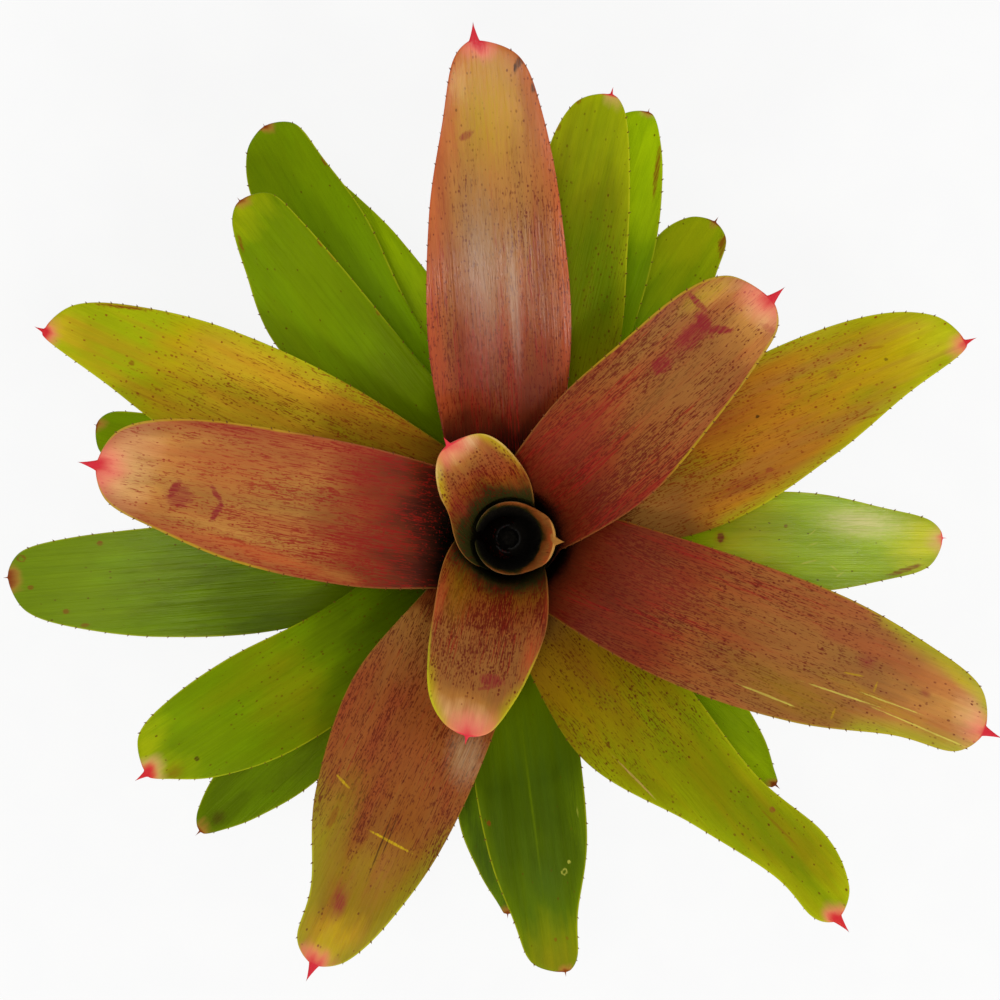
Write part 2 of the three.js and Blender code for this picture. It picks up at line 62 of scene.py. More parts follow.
# %% The table of leaves
LEAF_ROWS = (
    ("heart_leaf_1", 356, 18, 6, 1, (34, 16, 11, 9, 6.5), (34, 16, 11, 9, 6.5)),
    ("heart_leaf_2", 123, 38.3, 4, 0.3, (24, 14, 11.7, 8.7, 5), (17, 18, 16.7, 14.3, 10)),
    ("heart_leaf_3", 258, 66.5, 3.5, 0, (17, 18.7, 15.7, 11.3, 7), (23, 20, 18.3, 15, 8.5)),
    ("inner_leaf_1", 42.3, 116, 6, 0, (19, 23, 22.3, 20.5, 14.5), (17, 21, 17, 12.5, 8.2)),
    ("inner_leaf_2", 170, 136, 6, 0, (21, 25, 22.7, 16.5, 10.8), (19, 21.5, 21.3, 18.7, 12.5)),
    ("inner_leaf_3", 337.9, 165, 6, 0, (19, 22, 23, 18.5, 12.5), (19, 24, 20.5, 12, 9.5)),
    ("inner_leaf_4", 94, 162.5, 6, 0, (18, 22, 18.5, 11.8, 7.3), (18, 25, 24, 20, 14)),
    ("inner_leaf_5", 245.4, 154, 6, 0, (17, 22.5, 22, 16.5, 9.5), (17, 27.5, 23, 11.5, 8.5)),
    ("middle_leaf_1", 23.2, 162, 4, 0, (17, 20.5, 22.7, 19.8, 12), (17, 24, 17, 8, 3.8)),
    ("middle_leaf_2", 156, 166.5, 3.5, 0, (14, 16, 14, 7.2, 3.3), (19, 25, 25, 19.5, 12)),
    ("middle_leaf_3", 310.8, 168, 6, 0, (12, 13, 10.5, 14.8, 10), (22, 29.5, 15.5, 6.5, 5.8)),
    ("middle_leaf_4", 77, 150.5, 2.8, 0, (15, 15, 16, 16, 11), (16, 21.5, 16.5, 11, 6)),
    ("middle_leaf_5", 213, 145.5, 4.5, 0, (15, 20, 20, 13.8, 5.3), (15, 14, 17.2, 16.3, 12)),
    ("outer_leaf_1", 0, 144.5, 1.7, 0, (15, 15.5, 15, 10, 6.3), (15, 17.5, 18, 14, 9.7)),
    ("outer_leaf_2", 128.6, 144.5, 1.7, 0, (15, 19, 20.5, 13, 7), (15, 13.5, 13, 12, 9.7)),
    ("outer_leaf_3", 277.4, 148, 2, 0, (14, 14.5, 13, 6.8, 4.8), (16, 22, 20.5, 15, 11)),
    ("outer_leaf_4", 184.5, 170.5, 2, 0, (16, 25, 24, 18.8, 12), (13, 14, 13, 11.7, 8.6)),
    ("outer_leaf_5", 317.2, 125, 2.5, 0, (15, 16, 14.5, 9.5, 3.5), (15, 16, 15, 9.5, 3.5)),
    ("outer_leaf_6", 71.9, 154, 1.7, 0, (13, 12, 12, 11, 9), (14, 18, 16.5, 11.3, 5.3)),
    ("outer_leaf_7", 223.5, 147, 2.5, 0, (13, 14, 14.8, 10, 4.3), (13, 14, 14, 10.7, 5.8)),
    ("outer_leaf_8", 120.7, 166.5, 1.5, 0, (14, 16, 17, 16.5, 10), (12, 11, 14, 11.8, 9.7)),
    ("outer_leaf_9", 269.8, 130.5, 2, 0, (13, 14, 14, 11, 6), (14, 17.5, 17, 10, 3.5)),
    ("outer_leaf_10", 164.7, 150, 1.5, 0, (12, 13, 13, 11.5, 9), (12, 13, 11, 8.7, 6)),
    ("outer_leaf_11", 56.9, 133.5, 2.5, 0, (13, 14, 14, 13.8, 8.5), (13, 14, 14, 10, 7)),
    ("outer_leaf_12", 118.5, 147, 2, 0, (13, 14, 13, 11, 8), (14, 20, 16.5, 10.8, 6)),
)
LAYERS = len(LEAF_ROWS)
print("leaves:", LAYERS)

# %% [markdown]
# ## One leaf's middle line
#
# A leaf leaves the stem almost level, swells out round the bulb that holds water, rises to its
# neck and then arches outwards as the blade. A Bezier curve gives the sheath, and a slope that
# falls steadily along the blade gives the arch. The line lives in the leaf's own upright plane,
# as distance along it (s), distance from the plant's axis (r), height (z) and tilt.

# %% The middle line
STEM_TOP_RADIUS, STEM_TOP_Z = 3, 128
STEM_FOOT_RADIUS, STEM_FOOT_Z = 17, 92
SCAR_CLEARANCE = 0.7
SHEATH_BULGE, SHEATH_RISE = 0.85, 0.5
NECK_RADIUS, NECK_Z = 11.5, 172
NECK_WIDE_STEP, NECK_NARROW_STEP, WIDE_LAYERS, NECK_Z_STEP = 2.1, 1.3, 6, -1.8
NECK_TILT, BLADE_TILT, TIP_TILT = (84, -1.3), (46, -1.6), (14, -1.45)  # innermost, and per layer
NECK_BEND_LENGTH, ARCH_LENGTH, LONGEST_BLADE = 14, 160, 230
SHEATH_STEPS = 48
STEM_SLOPE = math.atan2(STEM_FOOT_RADIUS - STEM_TOP_RADIUS, STEM_TOP_Z - STEM_FOOT_Z)


def middle_line(layer):
    """The line's columns s, r, z and tilt, and the s of its neck."""
    down, wide = layer / (LAYERS - 1), min(layer, WIDE_LAYERS)
    neck_tilt, blade_tilt, tip_tilt = (
        math.radians(first + step * layer) for first, step in (NECK_TILT, BLADE_TILT, TIP_TILT)
    )
    out = np.array([math.cos(STEM_SLOPE), math.sin(STEM_SLOPE)])
    up = np.array([math.cos(neck_tilt), math.sin(neck_tilt)])
    top = np.array([STEM_TOP_RADIUS, STEM_TOP_Z])
    bottom = np.array([STEM_FOOT_RADIUS, STEM_FOOT_Z])
    foot = top + (bottom - top) * down + SCAR_CLEARANCE * out
    neck_r = NECK_RADIUS + NECK_WIDE_STEP * wide + NECK_NARROW_STEP * (layer - wide)
    neck = np.array([neck_r, NECK_Z + NECK_Z_STEP * layer])
    low = foot + out * SHEATH_BULGE * (neck[0] - foot[0])
    high = neck - up * SHEATH_RISE * (neck[1] - foot[1])
    t = np.linspace(0, 1, SHEATH_STEPS + 1)[:, None]
    at = (1 - t) ** 3 * foot + 3 * (1 - t) ** 2 * t * low + 3 * (1 - t) * t**2 * high + t**3 * neck
    along = (1 - t) ** 2 * (low - foot) + 2 * (1 - t) * t * (high - low) + t**2 * (neck - high)
    s = np.concatenate([[0], np.cumsum(np.hypot(*np.diff(at, axis=0).T))])
    b = np.arange(1, LONGEST_BLADE + 1)
    bend = (neck_tilt - blade_tilt) * np.exp(-b / NECK_BEND_LENGTH)
    tilt = blade_tilt - (blade_tilt - tip_tilt) * b / ARCH_LENGTH + bend
    columns = {
        "s": np.append(s, s[-1] + b),
        "r": np.append(at[:, 0], neck[0] + np.cumsum(np.cos(tilt))),
        "z": np.append(at[:, 1], neck[1] + np.cumsum(np.sin(tilt))),
        "tilt": np.append(np.arctan2(along[:, 1], along[:, 0]), tilt),
    }
    return columns, s[-1]


print("sheath lengths, mm:", [round(float(middle_line(i)[1])) for i in (0, LAYERS - 1)])

# %% [markdown]
# ## One leaf's outline and surface
#
# A flat strap can't be bent round the plant by moving its points sideways, because it would
# stretch. Instead each leaf is laid on the cone that has its slope, the way a paper strip is
# wrapped on a funnel. The margins are smooth curves through the table's half-widths, with the
# stations crowded towards the tip so that a blade ends round. Beyond the neck the blade is
# slightly channelled and its margins wave a little, as real ones do.

# %% The leaf as a surface
SHEATH_HALF_WIDTH, FOOT_HALF_WIDTH, FOOT_HALF_ANGLE = 29, 15, math.radians(105)
CUSP_HALF_WIDTH, CUSP_FLARE, CUSP_FLARE_LENGTH, CUSP_TAPER = 1.2, 2.6, 2.5, 1.3
THICKNESS = 0.95
CHANNEL_DEPTH, WAVE_HEIGHT, WAVE_LENGTH = 1.3, 0.7, 62
WAVE_PHASE = 1.9  # the next leaf's waves start this much later, in radians
SHEATH_WIDEST, LONGEST_CUSP = 0.5, 6  # a share of the sheath's length, and mm
FREE_FROM, FREE_FULLY = 22, 60  # blade lengths between which channel and waves set in


def ease(k):
    k = np.clip(k, 0, 1)
    return k * k * (3 - 2 * k)


class Leaf:
    """One leaf's formulas: its margins, and its surface in the plant's own space, in mm."""

    def __init__(self, layer, row):
        self.layer = layer
        self.name, azimuth, reach, self.cusp, self.roll, self.left, self.right = row
        self.azimuth = math.radians(azimuth)
        self.line, self.neck_s = middle_line(layer)
        self.end_s = self.line["s"][np.argmax(self.line["r"] >= reach)]
        self.body_end = self.end_s - self.cusp
        self.foot_half = min(FOOT_HALF_WIDTH, FOOT_HALF_ANGLE * self.line["r"][0])

    def at(self, s, column):
        return np.interp(s, self.line["s"], self.line[column])

    def blade_half_width(self, t, side):
        """The smooth curve through one side's stations, t from 0 at the neck to 1 at the point."""
        widths = np.array((self.left if side > 0 else self.right) + (CUSP_HALF_WIDTH,), float)
        last = len(widths) - 1
        place = last * np.clip(t, 0, 1)
        i = np.minimum(place.astype(int), last)
        k = place - i
        before, here = widths[np.maximum(i - 1, 0)], widths[i]
        there, after = widths[np.minimum(i + 1, last)], widths[np.minimum(i + 2, last)]
        v0, v1 = (there - before) / 2, (after - here) / 2
        cubic = (2 * here - 2 * there + v0 + v1) * k**3
        return cubic + (-3 * here + 3 * there - 2 * v0 - v1) * k**2 + v0 * k + here

    def margin(self, s, side):
        """How far one margin lies from the middle line at s."""
        widest = SHEATH_WIDEST * self.neck_s
        neck = (self.left if side > 0 else self.right)[0]
        low = self.foot_half + (SHEATH_HALF_WIDTH - self.foot_half) * ease(s / widest)
        high = SHEATH_HALF_WIDTH + (neck - SHEATH_HALF_WIDTH) * ease((s - widest) / widest)
        left_over = np.clip((self.body_end - s) / (self.body_end - self.neck_s), 0, 1)
        blade = self.blade_half_width(1 - np.sqrt(left_over), side)
        flare = np.clip((self.end_s - s) / (self.cusp + CUSP_FLARE_LENGTH), 0, 1)
        point = CUSP_FLARE * self.cusp / LONGEST_CUSP * flare**CUSP_TAPER
        blade = np.where(s > self.body_end, 0, blade)
        on_blade = (blade**4 + point**4) ** 0.25
        return np.where(s < widest, low, np.where(s < self.neck_s, high, on_blade))

    def surface(self, s, w, height):
        """The point w to the left of the middle line at s, and height above the leaf's mid skin."""
        r, flat = self.at(s, "r"), np.cos(self.at(s, "tilt"))
        cone = (1 - self.roll) * ease(s / self.neck_s)
        onward = cone * w * w * flat / (np.hypot(r, w * flat) + r)
        cone_turn = np.arctan2(w * flat, r) / np.maximum(flat, 1e-6)
        turn = self.azimuth + cone * cone_turn + (1 - cone) * w / r
        b = s - self.neck_s
        free = (1 - self.roll) * ease((b - FREE_FROM) / (FREE_FULLY - FREE_FROM))
        across = w / SHEATH_HALF_WIDTH
        wave = np.sin(2 * math.pi * b / WAVE_LENGTH + WAVE_PHASE * self.layer + np.sign(w))
        raised = CHANNEL_DEPTH * across**2 * 2 + WAVE_HEIGHT * wave * across**2 * 2
        height = height + free * raised
        r, z, tilt = (self.at(s + onward, column) for column in ("r", "z", "tilt"))
        r = r - height * np.sin(tilt)
        return np.stack([r * np.cos(turn), r * np.sin(turn), z + height * np.cos(tilt)], -1)


leaves = [Leaf(layer, row) for layer, row in enumerate(LEAF_ROWS)]
print("blade lengths, mm:", [round(float(leaf.end_s - leaf.neck_s)) for leaf in leaves])

# %% [markdown]
# ## One leaf's mesh
#
# A blade could be a plane with a Solidify modifier, but its section is a lens: about a millimetre
# thick along the middle and thin at the margins. So both skins are laid out as grids that share
# their margin points. The grid is denser at the margins, where the colour changes fastest. The
# points also carry where they lie on the leaf, in millimetres, which the finish reads later:
# "strip" is the distance from the neck, the distance across and the leaf's own number, "edge"
# is the distance to the margin, the distance to the tip and 1 on the lower skin, and "spine" is
# 1 on the spines alone.

# %% The leaf's two skins
SHEATH_ROWS, BLADE_ROWS, CUSP_ROWS, COLUMNS = 26, 120, 9, 29
ROW_CROWDING = 1.45  # above 1, the rows stand closer together towards the tip
CUSP_THINNING, LENS_POWER = 0.6, 4


def make_mesh(name, points, faces, **fields):
    """A smooth mesh from points in mm. Each field is one number or one vector for each point."""
    made = bpy.data.meshes.new(name)
    made.from_pydata((np.asarray(points) * MM).tolist(), [], faces)
    for key, values in fields.items():
        wide = np.ndim(values) == 2
        attribute = made.attributes.new(key, "FLOAT_VECTOR" if wide else "FLOAT", "POINT")
        flat = np.asarray(values, np.float32).ravel()
        attribute.data.foreach_set("vector" if wide else "value", flat)
    made.shade_smooth()
    return made


class Net:
    """Points, faces and the painted coordinates of a leaf that is being put together."""

    def __init__(self):
        self.points, self.strip, self.edge, self.spine, self.faces = [], [], [], [], []
        self.count = 0

    def add(self, points, strip, edge, spine):
        first = self.count
        self.points.append(points.reshape(-1, 3))
        self.strip.append(strip.reshape(-1, 3))
        self.edge.append(edge.reshape(-1, 3))
        self.spine.append(spine.reshape(-1))
        self.count += len(self.points[-1])
        return first + np.arange(self.count - first).reshape(points.shape[:-1])

    def mesh(self, name):
        painted = {key: np.concatenate(getattr(self, key)) for key in ("strip", "edge", "spine")}
        return make_mesh(name, np.concatenate(self.points), self.faces, **painted)


def leaf_rows(leaf):
    sheath = np.linspace(0, leaf.neck_s, SHEATH_ROWS, endpoint=False)
    k = np.linspace(0, 1, BLADE_ROWS)
    blade = leaf.neck_s + (leaf.body_end - leaf.neck_s) * (1 - (1 - k) ** ROW_CROWDING)
    cusp = leaf.body_end + leaf.cusp * np.linspace(0, 1, CUSP_ROWS + 1)[1:-1]
    return np.concatenate([sheath, blade, cusp])


def skin(net, leaf, s, v, upper):
    """Adds one skin's points: s down the rows, v from -1 at the right margin to 1 at the left."""
    s, v = np.meshgrid(s, v, indexing="ij")
    half = np.where(v > 0, leaf.margin(s, 1), leaf.margin(s, -1))
    w = v * half
    thin = np.clip((leaf.end_s - s) / leaf.cusp, 0, 1) ** CUSP_THINNING
    lens = np.sqrt(np.clip(1 - v**LENS_POWER, 0, 1))
    height = (0.5 if upper else -0.5) * THICKNESS * thin * lens
    strip = np.stack([s - leaf.neck_s, w, np.full_like(s, leaf.layer)], -1)
    under = np.full_like(s, 0.0 if upper else 1.0)
    edge = np.stack([half - np.abs(w), leaf.end_s - s, under], -1)
    return net.add(leaf.surface(s, w, height), strip, edge, np.zeros_like(s))


def quads(net, a, flip):
    """Faces between the neighbours of a grid of point numbers."""
    corners = [a[:-1, :-1], a[:-1, 1:], a[1:, 1:], a[1:, :-1]]
    if flip:
        corners.reverse()
    net.faces += np.stack([c.ravel() for c in corners], -1).tolist()


def leaf_skins(net, leaf):
    s = leaf_rows(leaf)
    v = np.sin(np.linspace(-1, 1, COLUMNS) * math.pi / 2)
    upper = skin(net, leaf, s, v, True)
    inside = skin(net, leaf, s, v[1:-1], False)
    lower = np.concatenate([upper[:, :1], inside, upper[:, -1:]], 1)
    end = skin(net, leaf, np.array([leaf.end_s]), np.array([0.0]), True)[0, 0]
    quads(net, upper, True)
    quads(net, lower, False)
    for j in range(COLUMNS - 1):
        net.faces.append([int(end), int(upper[-1, j]), int(upper[-1, j + 1])])
        net.faces.append([int(end), int(lower[-1, j + 1]), int(lower[-1, j])])
        foot = [upper[0, j], lower[0, j], lower[0, j + 1], upper[0, j + 1]]
        net.faces.append(list(dict.fromkeys(int(corner) for corner in foot)))


print("points across and along a leaf:", COLUMNS, SHEATH_ROWS + BLADE_ROWS + CUSP_ROWS)

# %% [markdown]
# ## The spines
#
# The margins carry small dark spines that lean towards the tip, close together near the neck and
# the tip and further apart between. A bump can't show them against the light, so each is a real
# little horn: three rings of points that shrink along a bent line, with its root sunk into the
# margin. The heart leaves have only fine teeth.

# %% The spines of one leaf
SPINE_LENGTH, SPINE_LEAN, SPINE_ROOT = 0.48, 0.42, 0.3
SPINE_BASE, SPINE_DEPTH = 0.36, 0.22
SPINE_RINGS, SPINE_SIDES = (0.0, 0.4, 0.75), 6
TOOTH_SHARE = 0.4  # a heart leaf's tooth against a blade's spine
NEAR_SPACING, FAR_SPACING, TOOTH_SPACING = 3.0, 6.6, 2.3
NO_SPINES_BEFORE_TIP = 3


def spine_places(leaf, side, rng):
    """The s of each spine on one margin."""
    blade = leaf.body_end - leaf.neck_s
    b, places = 2.0 + rng.random(), []
    while b < blade - NO_SPINES_BEFORE_TIP:
        places.append(leaf.neck_s + b)
        if leaf.name.startswith("heart"):
            b += TOOTH_SPACING * (0.8 + 0.4 * rng.random())
            continue
        middle = math.sin(math.pi * min(b / blade, 1)) ** 0.7
        spacing = NEAR_SPACING + (FAR_SPACING - NEAR_SPACING) * middle
        b += spacing * (0.7 + 0.6 * rng.random())
    return places


def spines(net, leaf):
    rng = np.random.default_rng(400 + leaf.layer)
    size = TOOTH_SHARE if leaf.name.startswith("heart") else 1.0
    for side in (1, -1):
        for s in spine_places(leaf, side, rng):
            scale = size * (0.75 + 0.5 * rng.random())
            s_three = np.array([s - 0.5, s, s + 0.5])
            margin = side * leaf.margin(s_three, side)
            low, root, high = leaf.surface(s_three, margin, 0 * s_three)
            inner = leaf.surface(s_three[1:2], margin[1:2] - side, 0 * s_three[:1])[0]
            along = (high - low) / np.linalg.norm(high - low)
            out = root - inner
            out -= along * (out @ along)
            out /= np.linalg.norm(out)
            normal = np.cross(along, out)
            turn = np.arange(SPINE_SIDES) * 2 * math.pi / SPINE_SIDES
            rings = []
            for k in (*SPINE_RINGS, 1.0):
                centre = root + out * ((SPINE_ROOT + SPINE_LENGTH) * k - SPINE_ROOT) * scale
                centre = centre + along * SPINE_LEAN * k * k * scale
                girth = scale * (1 - k) ** 0.85
                ring = centre + np.outer(np.cos(turn), along) * SPINE_BASE * girth
                rings.append(ring + np.outer(np.sin(turn), normal) * SPINE_DEPTH * girth)
            points = np.concatenate([*rings[:-1], rings[-1][:1]])
            strip = np.tile([s - leaf.neck_s, margin[1], leaf.layer], (len(points), 1))
            edge = np.tile([0.0, leaf.end_s - s, 0.0], (len(points), 1))
            number = net.add(points, strip, edge, np.ones(len(points)))
            around = number[:-1].reshape(len(SPINE_RINGS), SPINE_SIDES)
            around = np.concatenate([around, around[:, :1]], 1)
            quads(net, around, side > 0)
            for i in range(SPINE_SIDES):
                tip = [int(around[-1, i]), int(around[-1, i + 1]), int(number[-1])]
                net.faces.append(tip[::-1] if side > 0 else tip)
            floor = [int(corner) for corner in around[0, :-1]]
            net.faces.append(floor if side > 0 else floor[::-1])


print("spines on one long leaf:", len(spine_places(leaves[6], 1, np.random.default_rng(1))) * 2)

# %% [markdown]
# ## Small helpers for finishes
#
# A finish is a tree of nodes. Wired by hand it takes one line for each node, each value and each
# link, so short helpers do it. The first adds a node and fills its sockets with values or with
# other nodes' outputs, and all the rest use it. Three do arithmetic on numbers and vectors. Two
# turn a value into a share from 0 to 1, one of them smoothly and the other nearly at once. The
# last ones mix two colours, give a cloudy noise, make a node group or put one to use, and turn a
# paint chart's numbers into Blender's.

# %% Helpers for node trees


def node(tree, kind, sockets=None, **settings):
    """Adds a node. A socket takes a number, a colour, a vector or another node's output."""
    made = tree.nodes.new(kind)
    for key, value in settings.items():
        setattr(made, key, value)
    for key, value in (sockets or {}).items():
        if isinstance(value, bpy.types.NodeSocket):
            tree.links.new(value, made.inputs[key])
        else:
            made.inputs[key].default_value = value
    return made


def sums(tree, operation, *values, clamp=False):
    """One step of arithmetic."""
    sockets = dict(enumerate(values))
    return node(tree, "ShaderNodeMath", sockets, operation=operation, use_clamp=clamp).outputs[0]


def vectors(tree, operation, a, b):
    return node(tree, "ShaderNodeVectorMath", {0: a, 1: b}, operation=operation).outputs[0]


def length(tree, vector):
    made = node(tree, "ShaderNodeVectorMath", {0: vector}, operation="LENGTH")
    return made.outputs["Value"]


def step(tree, value, start, end, low=0.0, high=1.0):
    """Runs smoothly from low to high while value runs from start to end."""
    sockets = {"Value": value, "From Min": start, "From Max": end, "To Min": low, "To Max": high}
    if start > end:
        sockets.update({"From Min": end, "From Max": start, "To Min": high, "To Max": low})
    made = node(tree, "ShaderNodeMapRange", sockets, interpolation_type="SMOOTHSTEP")
    return made.outputs["Result"]


def over(tree, value, level, softness):
    """0 below the level and 1 above it, with a soft change."""
    above = sums(tree, "SUBTRACT", value, level)
    return sums(tree, "MULTIPLY_ADD", above, 1 / softness, 0.5, clamp=True)


def blend(tree, share, a, b, mode="MIX"):
    sockets = {0: share, 6: a, 7: b}
    return node(tree, "ShaderNodeMix", sockets, data_type="RGBA", blend_type=mode).outputs[2]


def grouped(tree, contents, sockets):
    """Adds a node group and returns its outputs."""
    return node(tree, "ShaderNodeGroup", sockets, node_tree=contents).outputs


def noise(tree, vector, scale, detail=2.0, roughness=0.5):
    sockets = {"Vector": vector, "Scale": scale, "Detail": detail, "Roughness": roughness}
    return node(tree, "ShaderNodeTexNoise", sockets).outputs["Fac"]


def group(name, takes, gives):
    """A new node group, with its input and output nodes."""
    made = bpy.data.node_groups.new(name, "ShaderNodeTree")
    for key, kind, value in takes:
        socket = made.interface.new_socket(key, in_out="INPUT", socket_type="NodeSocket" + kind)
        socket.default_value = value
    for key in gives:
        made.interface.new_socket(key, in_out="OUTPUT", socket_type="NodeSocketFloat")
    return made, made.nodes.new("NodeGroupInput").outputs, made.nodes.new("NodeGroupOutput").inputs


def paint(red, green, blue):
    """A colour as a paint chart gives it, 0 to 255, in Blender's linear values."""

    def linear(value):
        value /= 255
        return value / 12.92 if value <= 0.04045 else ((value + 0.055) / 1.055) ** 2.4

    return (linear(red), linear(green), linear(blue), 1.0)


print("helpers ready")

# %% [markdown]
# ## Streaks and veins
#
# A bromeliad's veins run straight along the leaf about a millimetre apart, and its red pigment
# lies in fine broken streaks between them. Noise that is stretched a long way along the leaf and
# squeezed across it gives both. The group hands back long streaks, short dashes, broad soft
# bands, the veins, a slow cloudiness and patchy mottling, each from 0 to 1 about a middle of 0.5.
# A Wave texture would give veins too, but they would look ruled.

# %% The streaks group
GRAINS = {  # noise cells to the millimetre along and across the leaf, and the noise's octaves
    "Streaks": (0.09, 2.3, 3.0),
    "Dashes": (0.3, 2.6, 2.0),
    "Broad": (0.012, 0.16, 2.0),
    "Veins": (0.005, 0.9, 1.0),
    "Cloud": (0.04, 0.085, 3.0),
    "Mottle": (0.032, 0.12, 4.0),
}
GRAIN_ROUGHNESS = 0.6
LEAF_STEP, GRAIN_STEP = 5.1, 2.3  # how far apart in the noise two leaves lie, and what a grain adds


def streaks_group():
    takes = [("Strip", "Vector", (0, 0, 0))]
    tree, given, made = group("leaf_streaks", takes, GRAINS)
    for seed, (name, (along, across, octaves)) in enumerate(GRAINS.items()):
        stretch = (along, across, LEAF_STEP + GRAIN_STEP * seed)
        grain = vectors(tree, "MULTIPLY", given["Strip"], stretch)
        tree.links.new(noise(tree, grain, 1.0, octaves, GRAIN_ROUGHNESS), made[name])
    return tree


STREAKS = streaks_group()
print("node group:", STREAKS.name)

# %% [markdown]
# ## Freckles
#
# The freckles are short dark dots that lie in rows along the veins. Noise would give soft blots
# of all sizes, so a Voronoi pattern is used: each of its cells has one centre, which becomes one
# dot, and each cell's own random numbers decide whether it is there, how big and how dark.

# %% The freckles group
FRECKLE_LENGTH, FRECKLE_WIDTH = 1.6, 1.05  # mm from one freckle to the next, along and across
LEAF_APART = 171.3  # so that no two leaves have the same freckles
FRECKLE_SCATTER, FRECKLE_SOFTNESS = 0.9, 0.14
PALEST_FRECKLE = 0.4


def freckles_group():
    takes = [("Strip", "Vector", (0, 0, 0)), ("Density", "Float", 0.5), ("Size", "Float", 0.3)]
    tree, given, made = group("leaf_freckles", takes, ("Dots",))
    b, across, layer = node(tree, "ShaderNodeSeparateXYZ", {0: given["Strip"]}).outputs
    row = sums(tree, "MULTIPLY_ADD", layer, LEAF_APART, sums(tree, "DIVIDE", b, FRECKLE_LENGTH))
    column = sums(tree, "DIVIDE", across, FRECKLE_WIDTH)
    cells = node(tree, "ShaderNodeCombineXYZ", {0: row, 1: column}).outputs[0]
    sockets = {"Vector": cells, "Scale": 1.0, "Randomness": FRECKLE_SCATTER}
    voronoi = node(tree, "ShaderNodeTexVoronoi", sockets, voronoi_dimensions="2D")
    random = node(tree, "ShaderNodeSeparateColor", {0: voronoi.outputs["Color"]}).outputs
    there = sums(tree, "LESS_THAN", random[0], given["Density"])
    wobble = noise(tree, given["Strip"], 0.9, 1.0)
    size = sums(tree, "MULTIPLY", sums(tree, "ADD", random[1], wobble), given["Size"])
    dot = over(tree, size, voronoi.outputs["Distance"], FRECKLE_SOFTNESS)
    dot = sums(tree, "MULTIPLY", dot, there)
    dark = sums(tree, "MULTIPLY_ADD", random[2], 1 - PALEST_FRECKLE, PALEST_FRECKLE)
    tree.links.new(sums(tree, "MULTIPLY", dot, dark), made["Dots"])
    return tree


FRECKLES = freckles_group()
print("node group:", FRECKLES.name)

# %% [markdown]
# ## Marks
#
# Every grown leaf has its own scars: crimson bruises, pale yellow scratches, brown scorched spots
# on the margin. They could be painted on an image, but a procedural mark needs none: it is an
# ellipse at a place on the leaf, turned and stretched as needed, whose border is made ragged by
# noise. Long thin ones make scratches. The same distance gives a ring with a clear middle, and a
# soft wash that has no border at all. A few pale washes are painted highlights, not scars.

# %% The mark group
MARK_GRAIN = (0.5, 1.1, 2.3)  # noise cells to the millimetre along and across, and to each leaf
RAGGED, WASH_RAGGED = 1.7, 0.8  # how far noise moves the border, in half widths
PATCH_BORDER, WASH_BORDER = (1.3, 0.6), (1.15, 0.0)  # distances at which they start and are full
RING_AT, RING_BORDER = 0.85, (0.45, 0.05)


def mark_group():
    takes = [
        ("Strip", "Vector", (0, 0, 0)),
        ("Centre", "Vector", (0, 0, 0)),
        ("Shrink", "Vector", (1, 1, 0)),
        ("Turn", "Float", 0.0),
    ]
    tree, given, made = group("leaf_mark", takes, ("patch", "ring", "wash"))
    off = vectors(tree, "SUBTRACT", given["Strip"], given["Centre"])
    turned = node(tree, "ShaderNodeVectorRotate", {"Vector": off, "Angle": given["Turn"]})
    scaled = vectors(tree, "MULTIPLY", turned.outputs[0], given["Shrink"])
    from_middle = length(tree, scaled)
    grain = vectors(tree, "MULTIPLY", given["Strip"], MARK_GRAIN)
    rough = sums(tree, "SUBTRACT", noise(tree, grain, 1.0, 4.0, 0.65), 0.5)
    distance = sums(tree, "MULTIPLY_ADD", rough, RAGGED, from_middle)
    tree.links.new(step(tree, distance, *PATCH_BORDER), made["patch"])
    off_ring = sums(tree, "ABSOLUTE", sums(tree, "SUBTRACT", distance, RING_AT))
    tree.links.new(step(tree, off_ring, *RING_BORDER), made["ring"])
    soft = sums(tree, "MULTIPLY_ADD", rough, WASH_RAGGED, from_middle)
    tree.links.new(step(tree, soft, *WASH_BORDER), made["wash"])
    return tree


MARK = mark_group()
print("node group:", MARK.name)
